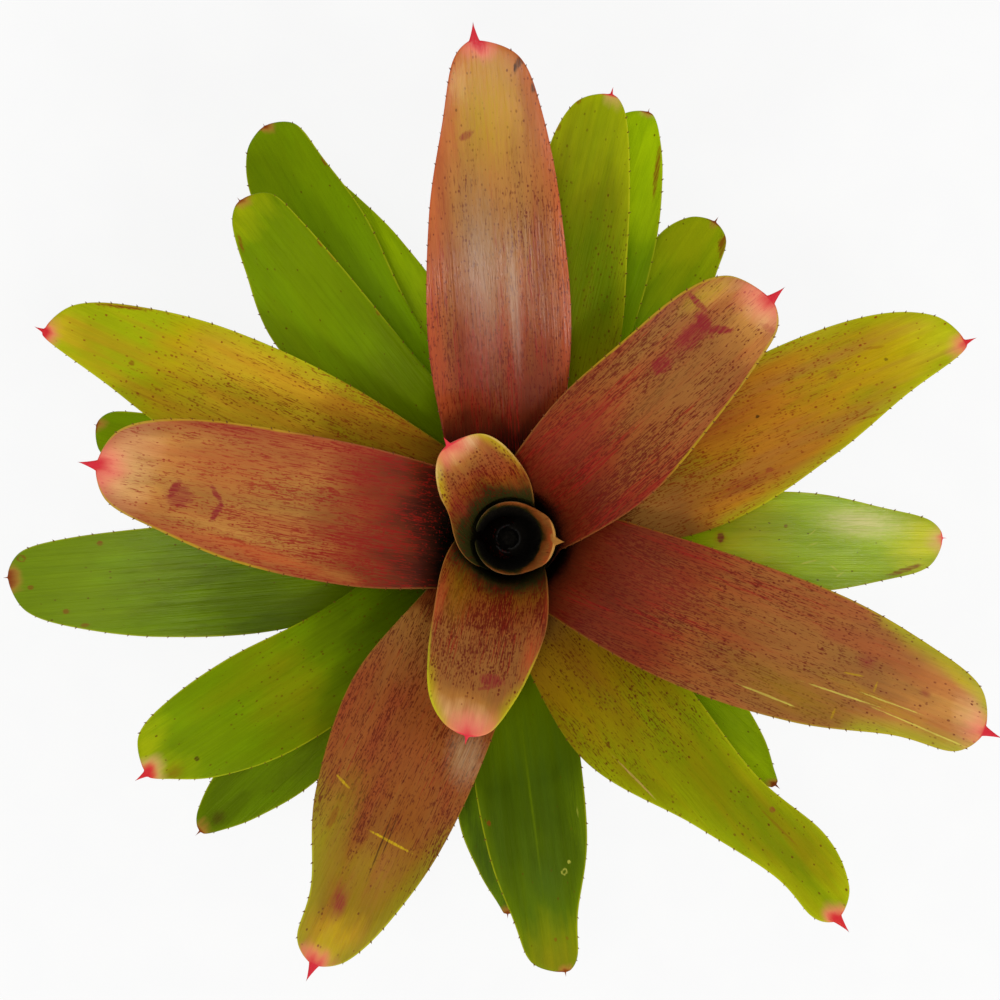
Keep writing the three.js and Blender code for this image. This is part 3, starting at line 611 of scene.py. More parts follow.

# %% [markdown]
# ## The leaves' paints
#
# The colours have a grower's names and are given as a paint chart gives them. The dark heart, the
# reds and the tans come first, then the pinks of the points, the pigments, the olives and golds,
# the greens and the scars. The heart's two darkest paints hold painted shade: the one inside the
# tube is painted shade alone, and the one at the leaf bases is dark pigment with the deep heart's
# shade painted in. A short list that all leaves share keeps them one plant's colours.

# %% The paints
PAINTS = {
    # the next two are painted shade: down inside the heart's tube, then dark pigment darkened
    # further for the deep leaf bases
    "well_painted_shade": paint(36, 32, 26),
    "throat_pigment_and_shade": paint(20, 14, 8),
    "black_red": paint(66, 24, 14),
    "maroon": paint(110, 41, 18),
    "red_brown": paint(130, 50, 20),
    "rust": paint(142, 74, 29),
    "bronze": paint(132, 76, 18),
    "terracotta": paint(147, 92, 40),
    "tan": paint(168, 111, 48),
    "warm_tan": paint(184, 127, 58),
    "peach": paint(206, 156, 98),
    "cream": paint(214, 176, 104),
    "white": paint(230, 206, 156),
    # a painted highlight: a silvery sheen laid on as paint
    "painted_highlight": paint(198, 176, 154),
    "pink": paint(226, 112, 96),
    "hot_pink": paint(216, 54, 64),
    "cusp_red": paint(196, 34, 48),
    "streak_red": paint(134, 24, 16),
    "crimson": paint(94, 18, 8),
    "wine": paint(128, 27, 32),
    "rose": paint(142, 46, 28),
    "moss": paint(132, 92, 38),
    "orange_red": paint(176, 76, 34),
    "freckle": paint(88, 26, 8),
    "red_dot": paint(124, 46, 12),
    "brown_dot": paint(84, 52, 4),
    "dark_olive": paint(50, 50, 18),
    "olive_brown": paint(147, 106, 18),
    "olive_gold": paint(136, 106, 5),
    "olive": paint(130, 124, 6),
    "bronze_gold": paint(170, 108, 24),
    "gold": paint(172, 138, 5),
    "honey": paint(186, 152, 28),
    "yellow_gold": paint(192, 160, 10),
    "golden_lime": paint(176, 156, 7),
    "khaki_green": paint(116, 121, 2),
    "lime": paint(146, 155, 5),
    "bright_lime": paint(184, 184, 24),
    "bright_green": paint(154, 181, 3),
    "spring_green": paint(112, 146, 0),
    "fresh_green": paint(104, 127, 0),
    "green": paint(95, 116, 0),
    "deep_green": paint(78, 99, 0),
    "dark_green": paint(58, 78, 0),
    "blue_green": paint(64, 88, 16),
    "scar": paint(206, 198, 82),
    "scorch": paint(122, 50, 12),
    "dark_spot": paint(58, 26, 8),
    "spine": paint(96, 50, 20),
}
print("paints:", len(PAINTS))

# %% [markdown]
# ## What is on each leaf
#
# What a leaf looks like is kept apart from how it is painted: one entry of paints and numbers for
# each leaf, so that any leaf can be repainted without touching the recipe. Places are in
# millimetres from the neck towards the tip.
#
# - "along": the ground colour's paints, from the sheath to the tip, each with its place
# - "patches": two paints for soft patches, each with its strength
# - "streaks", "dashes", "dots": how thickly these lie at each place, and "dot" the dots' size
# - "pigment": the paint of dashes and dots (streaks are always streak_red)
# - "edge": the tint beside the margins: paint, reach, where it starts, strength
# - "margin": the rim: paint and width near the neck, paint and width near the tip, and the place
#   where one passes into the other
# - "tip": the hard point's paint and reach, and the paint and reach of the blush round it
# - "gloss": the highlights' strength, the lowest roughness and the highlights' tint
# - "marks": for each its kind and paint, its middle (from the neck, to the left), half length,
#   half width, turn in degrees and strength
#
# Most of it is shared, so each leaf starts from one of three kinds and names only what differs.

# %% Red, olive and green leaves
RED_STREAKS = ((0, 0.55), (20, 0.65), (50, 0.6), (80, 0.35), (110, 0.15), (140, 0.05))
RED_DASHES = ((0, 0.6), (10, 0.68), (32, 0.64), (60, 0.58), (85, 0.45), (110, 0.33), (140, 0.15))
FEW_DOTS = ((0, 0.3), (40, 0.45), (90, 0.4), (130, 0.2))
NONE = ((0, 0.0), (100, 0.0))
CLEAR, WARM = (1, 1, 1), (1, 1, 0.2)

RED_LEAF = {
    "patches": (("moss", 0.35), ("rose", 0.35)),
    "streaks": RED_STREAKS,
    "dashes": RED_DASHES,
    "dots": FEW_DOTS,
    "dot": 0.2,
    "pigment": "crimson",
    "edge": ("rose", 5, 40, 0.4),
    "margin": ("terracotta", 0.4, "golden_lime", 0.6, 60),
    "tip": ("cusp_red", 4.5, "pink", 11),
    "gloss": (0.1, 0.2, CLEAR),
}
OLIVE_LEAF = {
    "patches": (("lime", 0.4), ("bronze", 0.35)),
    "streaks": ((0, 0.3), (50, 0.15), (90, 0.0)),
    "dashes": ((0, 0.5), (60, 0.42), (100, 0.25), (140, 0.0)),
    "dots": ((10, 0.5), (60, 0.45), (100, 0.25), (130, 0.06)),
    "dot": 0.22,
    "pigment": "red_dot",
    "edge": ("lime", 6, 46, 0.6),
    "margin": ("olive", 0.3, "bright_lime", 0.4, 60),
    "tip": ("cusp_red", 3.6, "pink", 7.5),
    "gloss": (0.1, 0.2, WARM),
}
GREEN_LEAF = {
    "patches": (("spring_green", 0.4), ("deep_green", 0.3)),
    "streaks": NONE,
    "dashes": NONE,
    "dots": ((0, 0.02), (100, 0.015)),
    "dot": 0.2,
    "pigment": "brown_dot",
    "edge": ("fresh_green", 4, 40, 0.3),
    "margin": ("green", 0.25, "bright_lime", 0.35, 50),
    "tip": ("scorch", 1.8, "tan", 4),
    "gloss": (0.1, 0.2, WARM),
}
FINISHES = {}
print("keys that leaves of one kind share:", len(RED_LEAF))

# %% [markdown]
# ### The heart leaves
#
# The three youngest leaves are short. The first is rolled into a tube round the dark well, and is
# orange at its end; down inside the tube it is painted dark, as painted shade of the well. The
# other two clasp it, thick with dark freckles, and end cream and pink.

# %% The heart leaves' paints
# each leaf's darkest stops near the neck are dark pigment with the deep heart's shade painted in
FINISHES["heart_leaf_1"] = RED_LEAF | {
    "along": (
        # the first stops are painted shade down inside the tube
        (-40, "well_painted_shade"), (-6, "well_painted_shade"), (0, "dark_olive"), (5, "rust"), (9, "terracotta"),
        (13, "orange_red"),
    ),
    "patches": (),
    "streaks": NONE,
    "dashes": ((0, 0.1), (10, 0.3)),
    "dots": NONE,
    "edge": ("terracotta", 2, 6, 0.3),
    "margin": ("black_red", 0.3, "tan", 0.3, 9),
    "tip": ("warm_tan", 1.6, "orange_red", 5),
    "marks": (
        ("wash", "dark_olive", 2, 33, 8, 13, 0, 0.8),
        ("wash", "dark_olive", 2, -34, 8, 10, 0, 0.7),
    ),
}
FINISHES["heart_leaf_2"] = RED_LEAF | {
    "along": (
        (-16, "throat_pigment_and_shade"), (-6, "dark_olive"), (9, "dark_olive"), (17, "bronze"), (20, "rust"),
        (24, "terracotta"), (31, "tan"), (38, "cream"),
    ),
    "patches": (("rose", 0.3), ("rose", 0.3)),
    "streaks": ((0, 0.1), (20, 0.3), (40, 0.0)),
    "dashes": ((0, 0.2), (15, 0.6), (30, 0.1)),
    "dots": ((3, 0.3), (10, 1.0), (24, 0.9), (30, 0.3), (34, 0.0)),
    "dot": 0.26,
    "edge": ("golden_lime", 5, 14, 0.8),
    "margin": ("tan", 0.3, "cream", 0.7, 21),
    "tip": ("hot_pink", 6, "pink", 11),
    "marks": (
        ("wash", "wine", 14, 8, 9, 5, 10, 0.6),
        ("wash", "wine", 21, -3, 4, 3, 0, 0.35),
        ("wash", "white", 36, -6, 5, 4, 0, 0.4),
        ("wash", "white", 33, 8, 5, 3, 0, 0.25),
    ),
}
FINISHES["heart_leaf_3"] = RED_LEAF | {
    "along": (
        (-14, "throat_pigment_and_shade"), (-6, "dark_olive"), (4, "dark_olive"), (12, "bronze"), (22, "rust"),
        (34, "terracotta"), (52, "terracotta"), (58, "tan"), (65, "peach"),
    ),
    "patches": (("rust", 0.4), ("moss", 0.3)),
    "streaks": ((0, 0.3), (20, 0.6), (40, 0.5), (55, 0.1)),
    "dashes": ((0, 0.6), (20, 0.8), (50, 0.35), (58, 0.0)),
    "dots": ((0, 0.8), (8, 1.0), (36, 1.0), (48, 0.6), (56, 0.1), (60, 0.0)),
    "dot": 0.26,
    "edge": ("golden_lime", 5, 40, 0.8),
    "margin": ("tan", 0.3, "bright_lime", 0.7, 34),
    "tip": ("hot_pink", 6, "pink", 13),
    "marks": (
        ("wash", "olive_gold", 18, -13, 17, 6, 0, 0.5),
        ("wash", "orange_red", 24, -19, 12, 2.5, 0, 0.8),
        ("wash", "orange_red", 36, 15, 14, 4, 0, 0.8),
        ("wash", "orange_red", 14, 19, 12, 3, 0, 0.5),
        ("wash", "pink", 66, 0, 9, 9, 0, 0.4),
        ("patch", "wine", 47.5, 4, 2.4, 4.2, 0, 0.8),
        ("patch", "wine", 50.6, 3, 0.7, 2.6, 20, 0.6),
    ),
}
print("heart leaves painted:", len(FINISHES))

# %% [markdown]
# ### The inner leaves
#
# These five are in full colour: maroon at the neck, then rust and terracotta, with long crimson
# streaks and bruises, and a red point in a pink blush. The last one turns gold and lime in its
# outer part.

# %% The inner leaves' paints
# the darkest stops near the neck are dark pigment with the deep heart's shade painted in
FINISHES["inner_leaf_1"] = RED_LEAF | {
    "along": (
        (-10, "throat_pigment_and_shade"), (-4, "black_red"), (3, "maroon"), (24, "maroon"), (36, "red_brown"),
        (50, "rust"), (74, "terracotta"), (92, "terracotta"), (100, "tan"), (106, "warm_tan"),
        (113, "peach"),
    ),
    "margin": ("terracotta", 0.4, "golden_lime", 0.7, 50),
    "tip": ("cusp_red", 6.5, "pink", 12),
    "marks": (
        ("wash", "rose", 34, 9, 34, 9, 0, 0.55),
        ("wash", "moss", 70, 1, 26, 5, 0, 0.6),
        ("wash", "golden_lime", 101, 15, 12, 4, -8, 0.5),
        ("patch", "wine", 75, 8, 3.8, 2.6, 0, 0.9),
        ("patch", "wine", 89, 8.5, 6, 3.2, 0, 0.8),
        ("patch", "wine", 94.5, 8.5, 2.4, 4.4, -15, 1.0),
        ("patch", "wine", 97.5, 15, 1.1, 3.8, 0, 1.0),
        ("patch", "wine", 97, 3.6, 3.8, 1.3, -45, 1.0),
        ("wash", "wine", 84, 8, 18, 4, 0, 0.4),
        ("patch", "wine", 108.5, -6, 1.0, 3, 20, 0.4),
    ),
}
FINISHES["inner_leaf_2"] = RED_LEAF | {
    "along": (
        (-4, "throat_pigment_and_shade"), (8, "throat_pigment_and_shade"), (20, "black_red"), (34, "maroon"), (44, "red_brown"),
        (52, "rust"), (64, "tan"), (96, "tan"), (112, "warm_tan"), (126, "peach"),
    ),
    "streaks": ((8, 0.0), (28, 0.45), (50, 0.5), (80, 0.4), (110, 0.2), (140, 0.05)),
    "dashes": ((10, 0.2), (30, 0.6), (55, 0.58), (85, 0.5), (110, 0.36), (140, 0.15)),
    "pigment": "streak_red",
    "edge": ("rose", 8, 40, 0.6),
    "margin": ("terracotta", 0.4, "golden_lime", 0.7, 70),
    "tip": ("cusp_red", 5.5, "pink", 13),
    "marks": (
        ("wash", "moss", 78, 3, 40, 5, -3, 0.4),
        ("wash", "warm_tan", 88, 13, 22, 1.6, -8, 0.7),
        ("wash", "orange_red", 92, -6, 30, 12, 0, 0.35),
        ("wash", "orange_red", 74, 19, 34, 3, -8, 0.7),
        ("wash", "rose", 70, -14, 34, 7, 0, 0.6),
        ("wash", "tan", 50, 22, 12, 3, -4, 0.6),
        ("patch", "wine", 92.5, 8, 1.1, 3.5, -25, 0.95),
        ("patch", "wine", 93.5, 2.5, 3.6, 0.9, -50, 0.9),
        ("patch", "wine", 105, 5, 4.2, 3.6, 0, 0.7),
        ("patch", "wine", 107, 3, 1.4, 3, -20, 0.8),
        ("wash", "peach", 122, -2, 9, 8, 0, 0.5),
    ),
}
FINISHES["inner_leaf_3"] = RED_LEAF | {
    "along": (
        (-10, "throat_pigment_and_shade"), (-4, "black_red"), (3, "maroon"), (26, "maroon"), (50, "red_brown"),
        (62, "rust"), (86, "terracotta"), (118, "terracotta"), (134, "tan"), (148, "warm_tan"),
        (157, "peach"),
    ),
    "patches": (("moss", 0.55), ("rose", 0.4)),
    "streaks": ((0, 0.35), (20, 0.45), (50, 0.5), (80, 0.35), (110, 0.15), (140, 0.05)),
    "edge": ("lime", 7, 112, 0.7),
    "margin": ("olive_brown", 0.3, "golden_lime", 0.45, 90),
    "tip": ("cusp_red", 4.5, "pink", 10),
    "marks": (
        ("wash", "rose", 46, 4, 20, 9, 0, 0.4),
        ("wash", "olive_gold", 100, -12, 28, 8, -4, 0.6),
        ("wash", "gold", 125, -4, 26, 3, -4, 0.4),
        ("wash", "golden_lime", 146, 12, 12, 2.5, -20, 0.7),
        ("patch", "scar", 113, -6.3, 11, 0.3, 4, 0.75),
        ("patch", "scar", 142, -6.6, 17, 0.25, -1, 0.75),
        ("patch", "scar", 128, -3, 9, 0.25, 2, 0.7),
        ("patch", "scar", 92, -15.6, 9, 0.3, 1, 0.7),
        ("patch", "gold", 114, 1, 2.6, 0.35, 10, 0.7),
        ("patch", "gold", 122, 0, 0.4, 1.6, 0, 0.7),
        ("patch", "gold", 113, -13, 0.4, 1.8, 0, 0.6),
        ("wash", "wine", 116.5, 6.5, 4, 3, 0, 0.6),
        ("wash", "wine", 137, 4, 2.4, 1.6, 0, 0.6),
        ("wash", "wine", 104, 10, 6, 3, 0, 0.35),
    ),
}
FINISHES["inner_leaf_4"] = RED_LEAF | {
    "along": (
        (-2, "throat_pigment_and_shade"), (14, "black_red"), (36, "maroon"), (54, "red_brown"), (69, "rust"),
        (90, "terracotta"), (104, "tan"), (116, "tan"), (130, "warm_tan"), (143, "warm_tan"),
    ),
    "streaks": ((0, 0.3), (40, 0.5), (80, 0.35), (120, 0.12)),
    "dashes": ((0, 0.4), (60, 0.4), (110, 0.25), (145, 0.05)),
    "edge": ("orange_red", 9, 20, 0.65),
    "margin": ("red_brown", 0.5, "orange_red", 0.5, 60),
    "tip": ("cusp_red", 5, "pink", 9),
    "gloss": (0.26, 0.08, (1, 0.9, 0.8)),
    "marks": (
        ("wash", "gold", 128, -2, 24, 13, 0, 0.75),
        ("wash", "cream", 138, 6, 8, 4, 0, 0.4),
        ("patch", "wine", 122, 4.5, 1.2, 2.4, 30, 0.8),
        ("patch", "dark_spot", 144, -13.9, 4, 1.2, -32, 1.0),
        ("patch", "dark_spot", 135.6, -17.8, 2, 1.1, -10, 1.0),
        ("wash", "moss", 88, 0, 34, 9, 0, 0.5),
        # painted highlight: silvery streaks where the front lamp's highlight falls on this leaf
        ("wash", "painted_highlight", 66, -7, 28, 2.8, 0, 0.38),
        ("wash", "painted_highlight", 74, 3, 40, 9, 0, 0.2),
        ("wash", "red_brown", 96, 13, 40, 3, 3, 0.6),
        ("wash", "red_brown", 80, -17, 40, 4, -2, 0.5),
    ),
}
FINISHES["inner_leaf_5"] = RED_LEAF | {
    "along": (
        (4, "maroon"), (10, "red_brown"), (16, "rust"), (22, "tan"), (36, "terracotta"),
        (50, "rust"), (66, "rust"), (92, "bronze"), (108, "olive_gold"), (118, "olive_gold"),
        (128, "gold"), (136, "golden_lime"),
    ),
    "patches": (("rose", 0.4), ("moss", 0.3)),
    "streaks": ((0, 0.5), (60, 0.35), (100, 0.12), (140, 0.0)),
    "dashes": ((0, 0.5), (62, 0.5), (95, 0.5), (112, 0.12), (140, 0.0)),
    "dots": ((0, 0.4), (60, 0.6), (95, 0.45), (115, 0.05)),
    "pigment": "freckle",
    "edge": ("olive", 7, 76, 0.7),
    "margin": ("olive_brown", 0.3, "bright_lime", 0.5, 100),
    "tip": ("cusp_red", 4.5, "pink", 8),
    "marks": (
        ("wash", "olive", 98, -13, 24, 8, 0, 0.5),
        ("wash", "terracotta", 104, 8, 16, 7, 0, 0.6),
        ("patch", "yellow_gold", 95, 6, 0.45, 7, -4, 0.9),
        ("patch", "dark_spot", 93, 5, 7, 0.25, 3, 0.7),
        ("patch", "dark_spot", 98, 3.6, 10, 0.28, 3, 0.85),
        ("wash", "wine", 119, -1, 7, 3, 15, 0.8),
        ("patch", "wine", 119, -1, 2.6, 1.6, 15, 0.5),
        # painted highlight: a whitish sheen beside the heart leaf's tip
        ("wash", "white", 59, 17, 13, 8, 20, 0.32),
        ("patch", "yellow_gold", 84, -16, 0.45, 3, -20, 0.7),
        ("patch", "scorch", 96, -14, 4, 1.2, 0, 0.5),
    ),
}
print("leaves painted so far:", len(FINISHES))

# %% [markdown]
# ### The middle leaves
#
# Older leaves lose their red. The first of these five is still tan and gold, the next two turn
# from brown and honey to green or lime, and the last two are green all along, with small brown
# dots and scorched spots.

# %% The middle leaves' paints
FINISHES["middle_leaf_1"] = OLIVE_LEAF | {
    "along": (
        (0, "maroon"), (12, "rust"), (22, "warm_tan"), (38, "terracotta"), (54, "bronze_gold"),
        (88, "bronze_gold"), (112, "gold"), (128, "golden_lime"), (144, "bright_lime"),
    ),
    "patches": (("olive", 0.5), ("terracotta", 0.6)),
    "marks": (
        ("wash", "rose", 56, 8, 34, 7, 0, 0.6),
        ("wash", "wine", 64, -14, 16, 3, 0, 0.6),
        ("patch", "dark_spot", 77, 4.5, 0.7, 0.6, 0, 0.9),
        ("wash", "wine", 104.5, 7.5, 3, 2.4, 0, 0.5),
        ("patch", "dark_spot", 122, 5, 0.6, 0.6, 0, 0.7),
        ("patch", "wine", 74, -13, 1.4, 0.8, 0, 0.6),
        ("patch", "scorch", 120, 10, 3, 0.5, -15, 0.5),
        ("patch", "scorch", 108, -8, 5, 0.3, 10, 0.5),
        ("patch", "scorch", 112, -10, 6, 0.3, -6, 0.5),
        ("wash", "spring_green", 110, -2, 8, 3, 0, 0.3),
    ),
}
FINISHES["middle_leaf_2"] = OLIVE_LEAF | {
    "along": (
        (0, "bronze"), (30, "olive_brown"), (54, "olive_brown"), (64, "honey"), (96, "honey"),
        (108, "golden_lime"), (120, "lime"), (136, "lime"), (146, "bright_lime"),
    ),
    "patches": (("lime", 0.5), ("bronze_gold", 0.5)),
    "marks": (
        ("patch", "scorch", 92, 1.5, 14, 0.3, -3, 0.5),
        ("patch", "scorch", 109, 6, 9, 0.3, 0, 0.4),
        ("patch", "scorch", 120, -2, 0.9, 0.8, 0, 0.7),
        ("patch", "scorch", 131, -17.9, 14, 1.4, 17, 1.2),
    ),
}
FINISHES["middle_leaf_3"] = OLIVE_LEAF | {
    "along": (
        (0, "tan"), (16, "olive_brown"), (36, "olive_gold"), (64, "olive"), (84, "khaki_green"),
        (124, "khaki_green"), (144, "lime"),
    ),
    "patches": (("fresh_green", 0.6), ("olive_gold", 0.4)),
    "pigment": "freckle",
    "streaks": NONE,
    "dashes": ((0, 0.35), (60, 0.4), (84, 0.15), (140, 0.0)),
    "dots": ((10, 0.3), (50, 0.4), (84, 0.15), (130, 0.05)),
    "marks": (
        ("patch", "peach", 70, -20.3, 9, 0.35, 4, 0.5),
        ("wash", "green", 50, 14, 30, 6, 0, 0.5),
        ("patch", "wine", 106, 7, 1, 0.9, 0, 0.7),
        ("patch", "scorch", 112, 5, 8, 0.4, 4, 0.4),
        ("wash", "bronze", 30, -10, 26, 6, 0, 0.5),
        ("wash", "lime", 90, -12, 30, 7, 0, 0.5),
    ),
}
FINISHES["middle_leaf_4"] = OLIVE_LEAF | {
    "along": (
        (0, "green"), (24, "khaki_green"), (44, "khaki_green"), (60, "green"), (76, "green"),
        (96, "khaki_green"), (112, "lime"), (124, "lime"),
    ),
    "patches": (("olive", 0.4), ("deep_green", 0.4)),
    "streaks": NONE,
    "dashes": ((20, 0.25), (80, 0.2), (115, 0.0)),
    "dots": ((20, 0.25), (80, 0.25), (115, 0.05)),
    "pigment": "brown_dot",
    "tip": ("cusp_red", 3, "peach", 6),
    "marks": (
        ("patch", "scorch", 106, -12.5, 3, 0.8, 12, 0.7),
        ("patch", "scorch", 115, 14.5, 1.2, 0.9, 0, 0.8),
        ("patch", "scorch", 125, 10, 1.2, 0.8, 0, 0.8),
        ("wash", "khaki_green", 60, 0, 30, 8, 0, 0.5),
    ),
}
FINISHES["middle_leaf_5"] = GREEN_LEAF | {
    "along": (
        (0, "deep_green"), (36, "deep_green"), (54, "green"), (66, "khaki_green"),
        (84, "fresh_green"), (106, "fresh_green"), (117, "lime"),
    ),
    "dots": ((0, 0.2), (60, 0.1), (100, 0.03)),
    "tip": ("cusp_red", 4, "peach", 8),
    "marks": (
        ("wash", "olive", 68, 3, 20, 8, 0, 0.4),
        ("patch", "dark_spot", 104, 5, 0.8, 0.7, 0, 0.8),
        ("wash", "scorch", 113, 5, 5, 4, 20, 0.5),
        ("wash", "khaki_green", 84, -8, 20, 5, 0, 0.6),
    ),
}
print("leaves painted so far:", len(FINISHES))

# %% [markdown]
# ### The outer leaves
#
# The oldest leaves are plain green, from lime to a bluish dark green. Most have a brown dry point,
# and the sun and other leaves have scarred their margins.

# %% The outer leaves' paints
FINISHES["outer_leaf_1"] = GREEN_LEAF | {
    "along": (
        (0, "spring_green"), (38, "bright_green"), (52, "bright_lime"), (74, "bright_green"),
        (98, "bright_green"), (112, "bright_lime"),
    ),
    "tip": ("hot_pink", 4, "peach", 8),
    "gloss": (0.3, 0.1, (1, 1, 0.85)),
    "marks": (
        # painted highlight: the overhead lamp's glare on the nearly level blade
        ("wash", "white", 93, 5, 18, 7, -5, 0.55),
        ("wash", "bright_lime", 52, 8, 20, 7, 0, 0.5),
        ("wash", "gold", 46, 0, 3, 3.4, 0, 0.8),
        ("patch", "wine", 46, 0, 1.2, 1.7, 0, 0.9),
        ("patch", "scorch", 68, 4, 0.7, 0.6, 0, 0.7),
        ("patch", "scar", 77, 2, 1.6, 0.25, 40, 0.6),
        ("patch", "scar", 77, -2, 1.8, 0.3, 20, 0.5),
        ("patch", "scar", 75.5, -8, 2.8, 0.3, 15, 0.6),
        ("patch", "scar", 84, -10, 1.6, 0.3, -40, 0.6),
        ("patch", "scar", 86, -12, 1.8, 0.3, 35, 0.5),
        ("patch", "scorch", 107, -10.6, 6, 0.8, 18, 0.85),
    ),
}
FINISHES["outer_leaf_2"] = GREEN_LEAF | {
    "along": (
        (0, "green"), (40, "green"), (60, "fresh_green"), (104, "fresh_green"), (116, "lime"),
    ),
    "marks": (
        ("patch", "scorch", 60, -13, 1.1, 0.7, 0, 0.8),
        ("patch", "scorch", 84, -12.5, 2, 0.5, 0, 0.8),
        ("patch", "scorch", 90, -12, 1.4, 0.5, 0, 0.8),
        ("patch", "scorch", 106, 8.6, 3, 0.6, -22, 0.8),
        ("wash", "scorch", 118, -2.5, 3, 3, 0, 0.7),
    ),
}
FINISHES["outer_leaf_3"] = GREEN_LEAF | {
    "along": (
        (0, "green"), (26, "green"), (42, "deep_green"), (52, "dark_green"), (80, "dark_green"),
        (98, "deep_green"), (108, "khaki_green"), (116, "olive"),
    ),
    "patches": (("deep_green", 0.3), ("blue_green", 0.4)),
    "marks": (
        ("wash", "green", 62, -4, 44, 0.6, 0, 0.6),
        ("ring", "scar", 85, 4, 1.0, 0.9, 0, 0.5),
        ("patch", "scar", 82, 6, 0.6, 0.5, 0, 0.6),
        ("patch", "scar", 66, 11, 1.6, 0.3, 0, 0.5),
        ("patch", "scorch", 107, 2, 0.7, 0.5, 0, 0.6),
        ("patch", "scorch", 107, -2, 0.7, 0.5, 0, 0.6),
        ("patch", "scorch", 66, -19, 0.9, 0.7, 0, 0.8),
        ("wash", "blue_green", 88, -3, 10, 6, 0, 0.7),
        ("wash", "green", 66, 12, 20, 6, 0, 0.6),
    ),
}
FINISHES["outer_leaf_4"] = GREEN_LEAF | {
    "along": (
        (0, "green"), (38, "green"), (54, "deep_green"), (68, "deep_green"), (90, "green"),
        (104, "fresh_green"), (136, "fresh_green"),
    ),
    "tip": ("scorch", 3, "tan", 5),
    "gloss": (0.2, 0.15, (1, 1, 0.6)),
    "marks": (
        ("patch", "scorch", 114, 18, 1.6, 0.7, 0, 0.8),
        ("patch", "scorch", 120, 13, 1.2, 0.8, 0, 0.8),
        ("patch", "scorch", 131.5, 4, 1, 0.8, 0, 0.8),
        ("patch", "scorch", 107, -9, 1.1, 0.8, 0, 0.8),
        ("ring", "scorch", 134, -6, 1.4, 1.2, 0, 0.7),
    ),
}
FINISHES["outer_leaf_6"] = GREEN_LEAF | {
    "along": (
        (0, "fresh_green"), (70, "spring_green"), (86, "bright_green"), (122, "bright_green"),
    ),
    "marks": (
        ("patch", "scorch", 100, -9, 9, 0.9, 12, 0.8),
        ("wash", "cream", 120, 0, 4, 6, 0, 0.7),
    ),
}
print("leaves painted so far:", len(FINISHES))

# %% [markdown]
# ### The leaves that lie nearly hidden
#
# Only the ends of the lowest leaves come out between the others, so each needs no more than three
# greens, at the neck, on the blade and towards the tip, and a mark or two.

# %% The nearly hidden leaves' paints
ON_THE_BLADE, BEFORE_TIP = 0.45, 14  # a share of the blade's length, and mm
NEARLY_HIDDEN = {
    5: ("spring_green", "spring_green", "bright_green"),
    7: ("green", "green", "deep_green"),
    8: ("spring_green", "spring_green", "fresh_green"),
    9: ("dark_green", "dark_green", "blue_green"),
    10: ("green", "green", "fresh_green"),
    11: ("spring_green", "spring_green", "lime"),
    12: ("spring_green", "bright_green", "bright_green"),
}
NEARLY_HIDDEN_MARKS = {
    7: (("wash", "dark_spot", 102, 1, 4, 3, 0, 0.7),),
    8: (
        ("patch", "scorch", 106, -11.5, 1.6, 0.6, 0, 0.8),
        ("wash", "orange_red", 128.5, 0, 3, 3, 0, 0.8),
    ),
    11: (
        ("patch", "scorch", 83, -7.2, 4.5, 2, 25, 0.85),
        ("patch", "scorch", 85, 9.5, 3.6, 0.8, -25, 0.7),
    ),
}
for number, (neck_paint, blade_paint, tip_paint) in NEARLY_HIDDEN.items():
    leaf = next(leaf for leaf in leaves if leaf.name == f"outer_leaf_{number}")
    blade = leaf.body_end - leaf.neck_s
    FINISHES[leaf.name] = GREEN_LEAF | {
        "along": (
            (0, neck_paint),
            (ON_THE_BLADE * blade, blade_paint),
            (blade - BEFORE_TIP, tip_paint),
            (blade, tip_paint),
        ),
        "marks": NEARLY_HIDDEN_MARKS.get(number, ()),
    }
print("finishes:", len(FINISHES))

# %% [markdown]
# ## Colours along a leaf
#
# All 25 leaves share one recipe, built once for each with its own entry. Its first tool is a
# colour ramp that is laid along the leaf, so that a stop's place is a real distance from the neck.
# The same tool, with greys for colours, says how thickly a pigment lies at each place.

# %% A ramp along the leaf
RAMP_FROM, RAMP_TO = -60, 180  # mm from the neck


def places(tree, strip_b, stops, value_of):
    """A colour ramp along the leaf, in millimetres from its neck."""
    share = sums(tree, "DIVIDE", sums(tree, "SUBTRACT", strip_b, RAMP_FROM), RAMP_TO - RAMP_FROM)
    ramp = node(tree, "ShaderNodeValToRGB", {"Fac": share})
    elements = ramp.color_ramp.elements
    while len(elements) < len(stops):
        elements.new(0.5)
    for element, (b, value) in zip(list(elements), stops):
        element.position = (b - RAMP_FROM) / (RAMP_TO - RAMP_FROM)
        element.color = value_of(value)
    return ramp.outputs["Color"]


def strength(value):
    return (value, value, value, 1)


print("most stops on one leaf:", max(len(rules["along"]) for rules in FINISHES.values()))

# %% [markdown]
# ## The ground colour
#
# A leaf's colours pass into one another in ragged tongues, so noise pushes the ramp's places to
# and fro. Two paints lie over it in soft patches, a tint runs beside the margins, and the
# cloudiness, bands, veins and streaks lighten and darken it all. Multiplying by a grey does that
# and leaves the hue alone.

# %% Ground colour, patches, edge tint and shade
SHIFT_BY_STREAKS, SHIFT_BY_CLOUD, SHIFT_MIDDLE = 5.0, 24.0, 14.5  # mm along the leaf
PATCHES_SET_IN = 0.12, 0.4  # shares of the blade's length
PATCH_BORDERS = 0.42, 0.68
EDGE_SETS_IN = 14.0  # mm
LIGHT_BASE = 0.4
LIGHT_BY = {"Broad": 0.35, "Cloud": 0.45, "Veins": 0.2, "Streaks": 0.2}


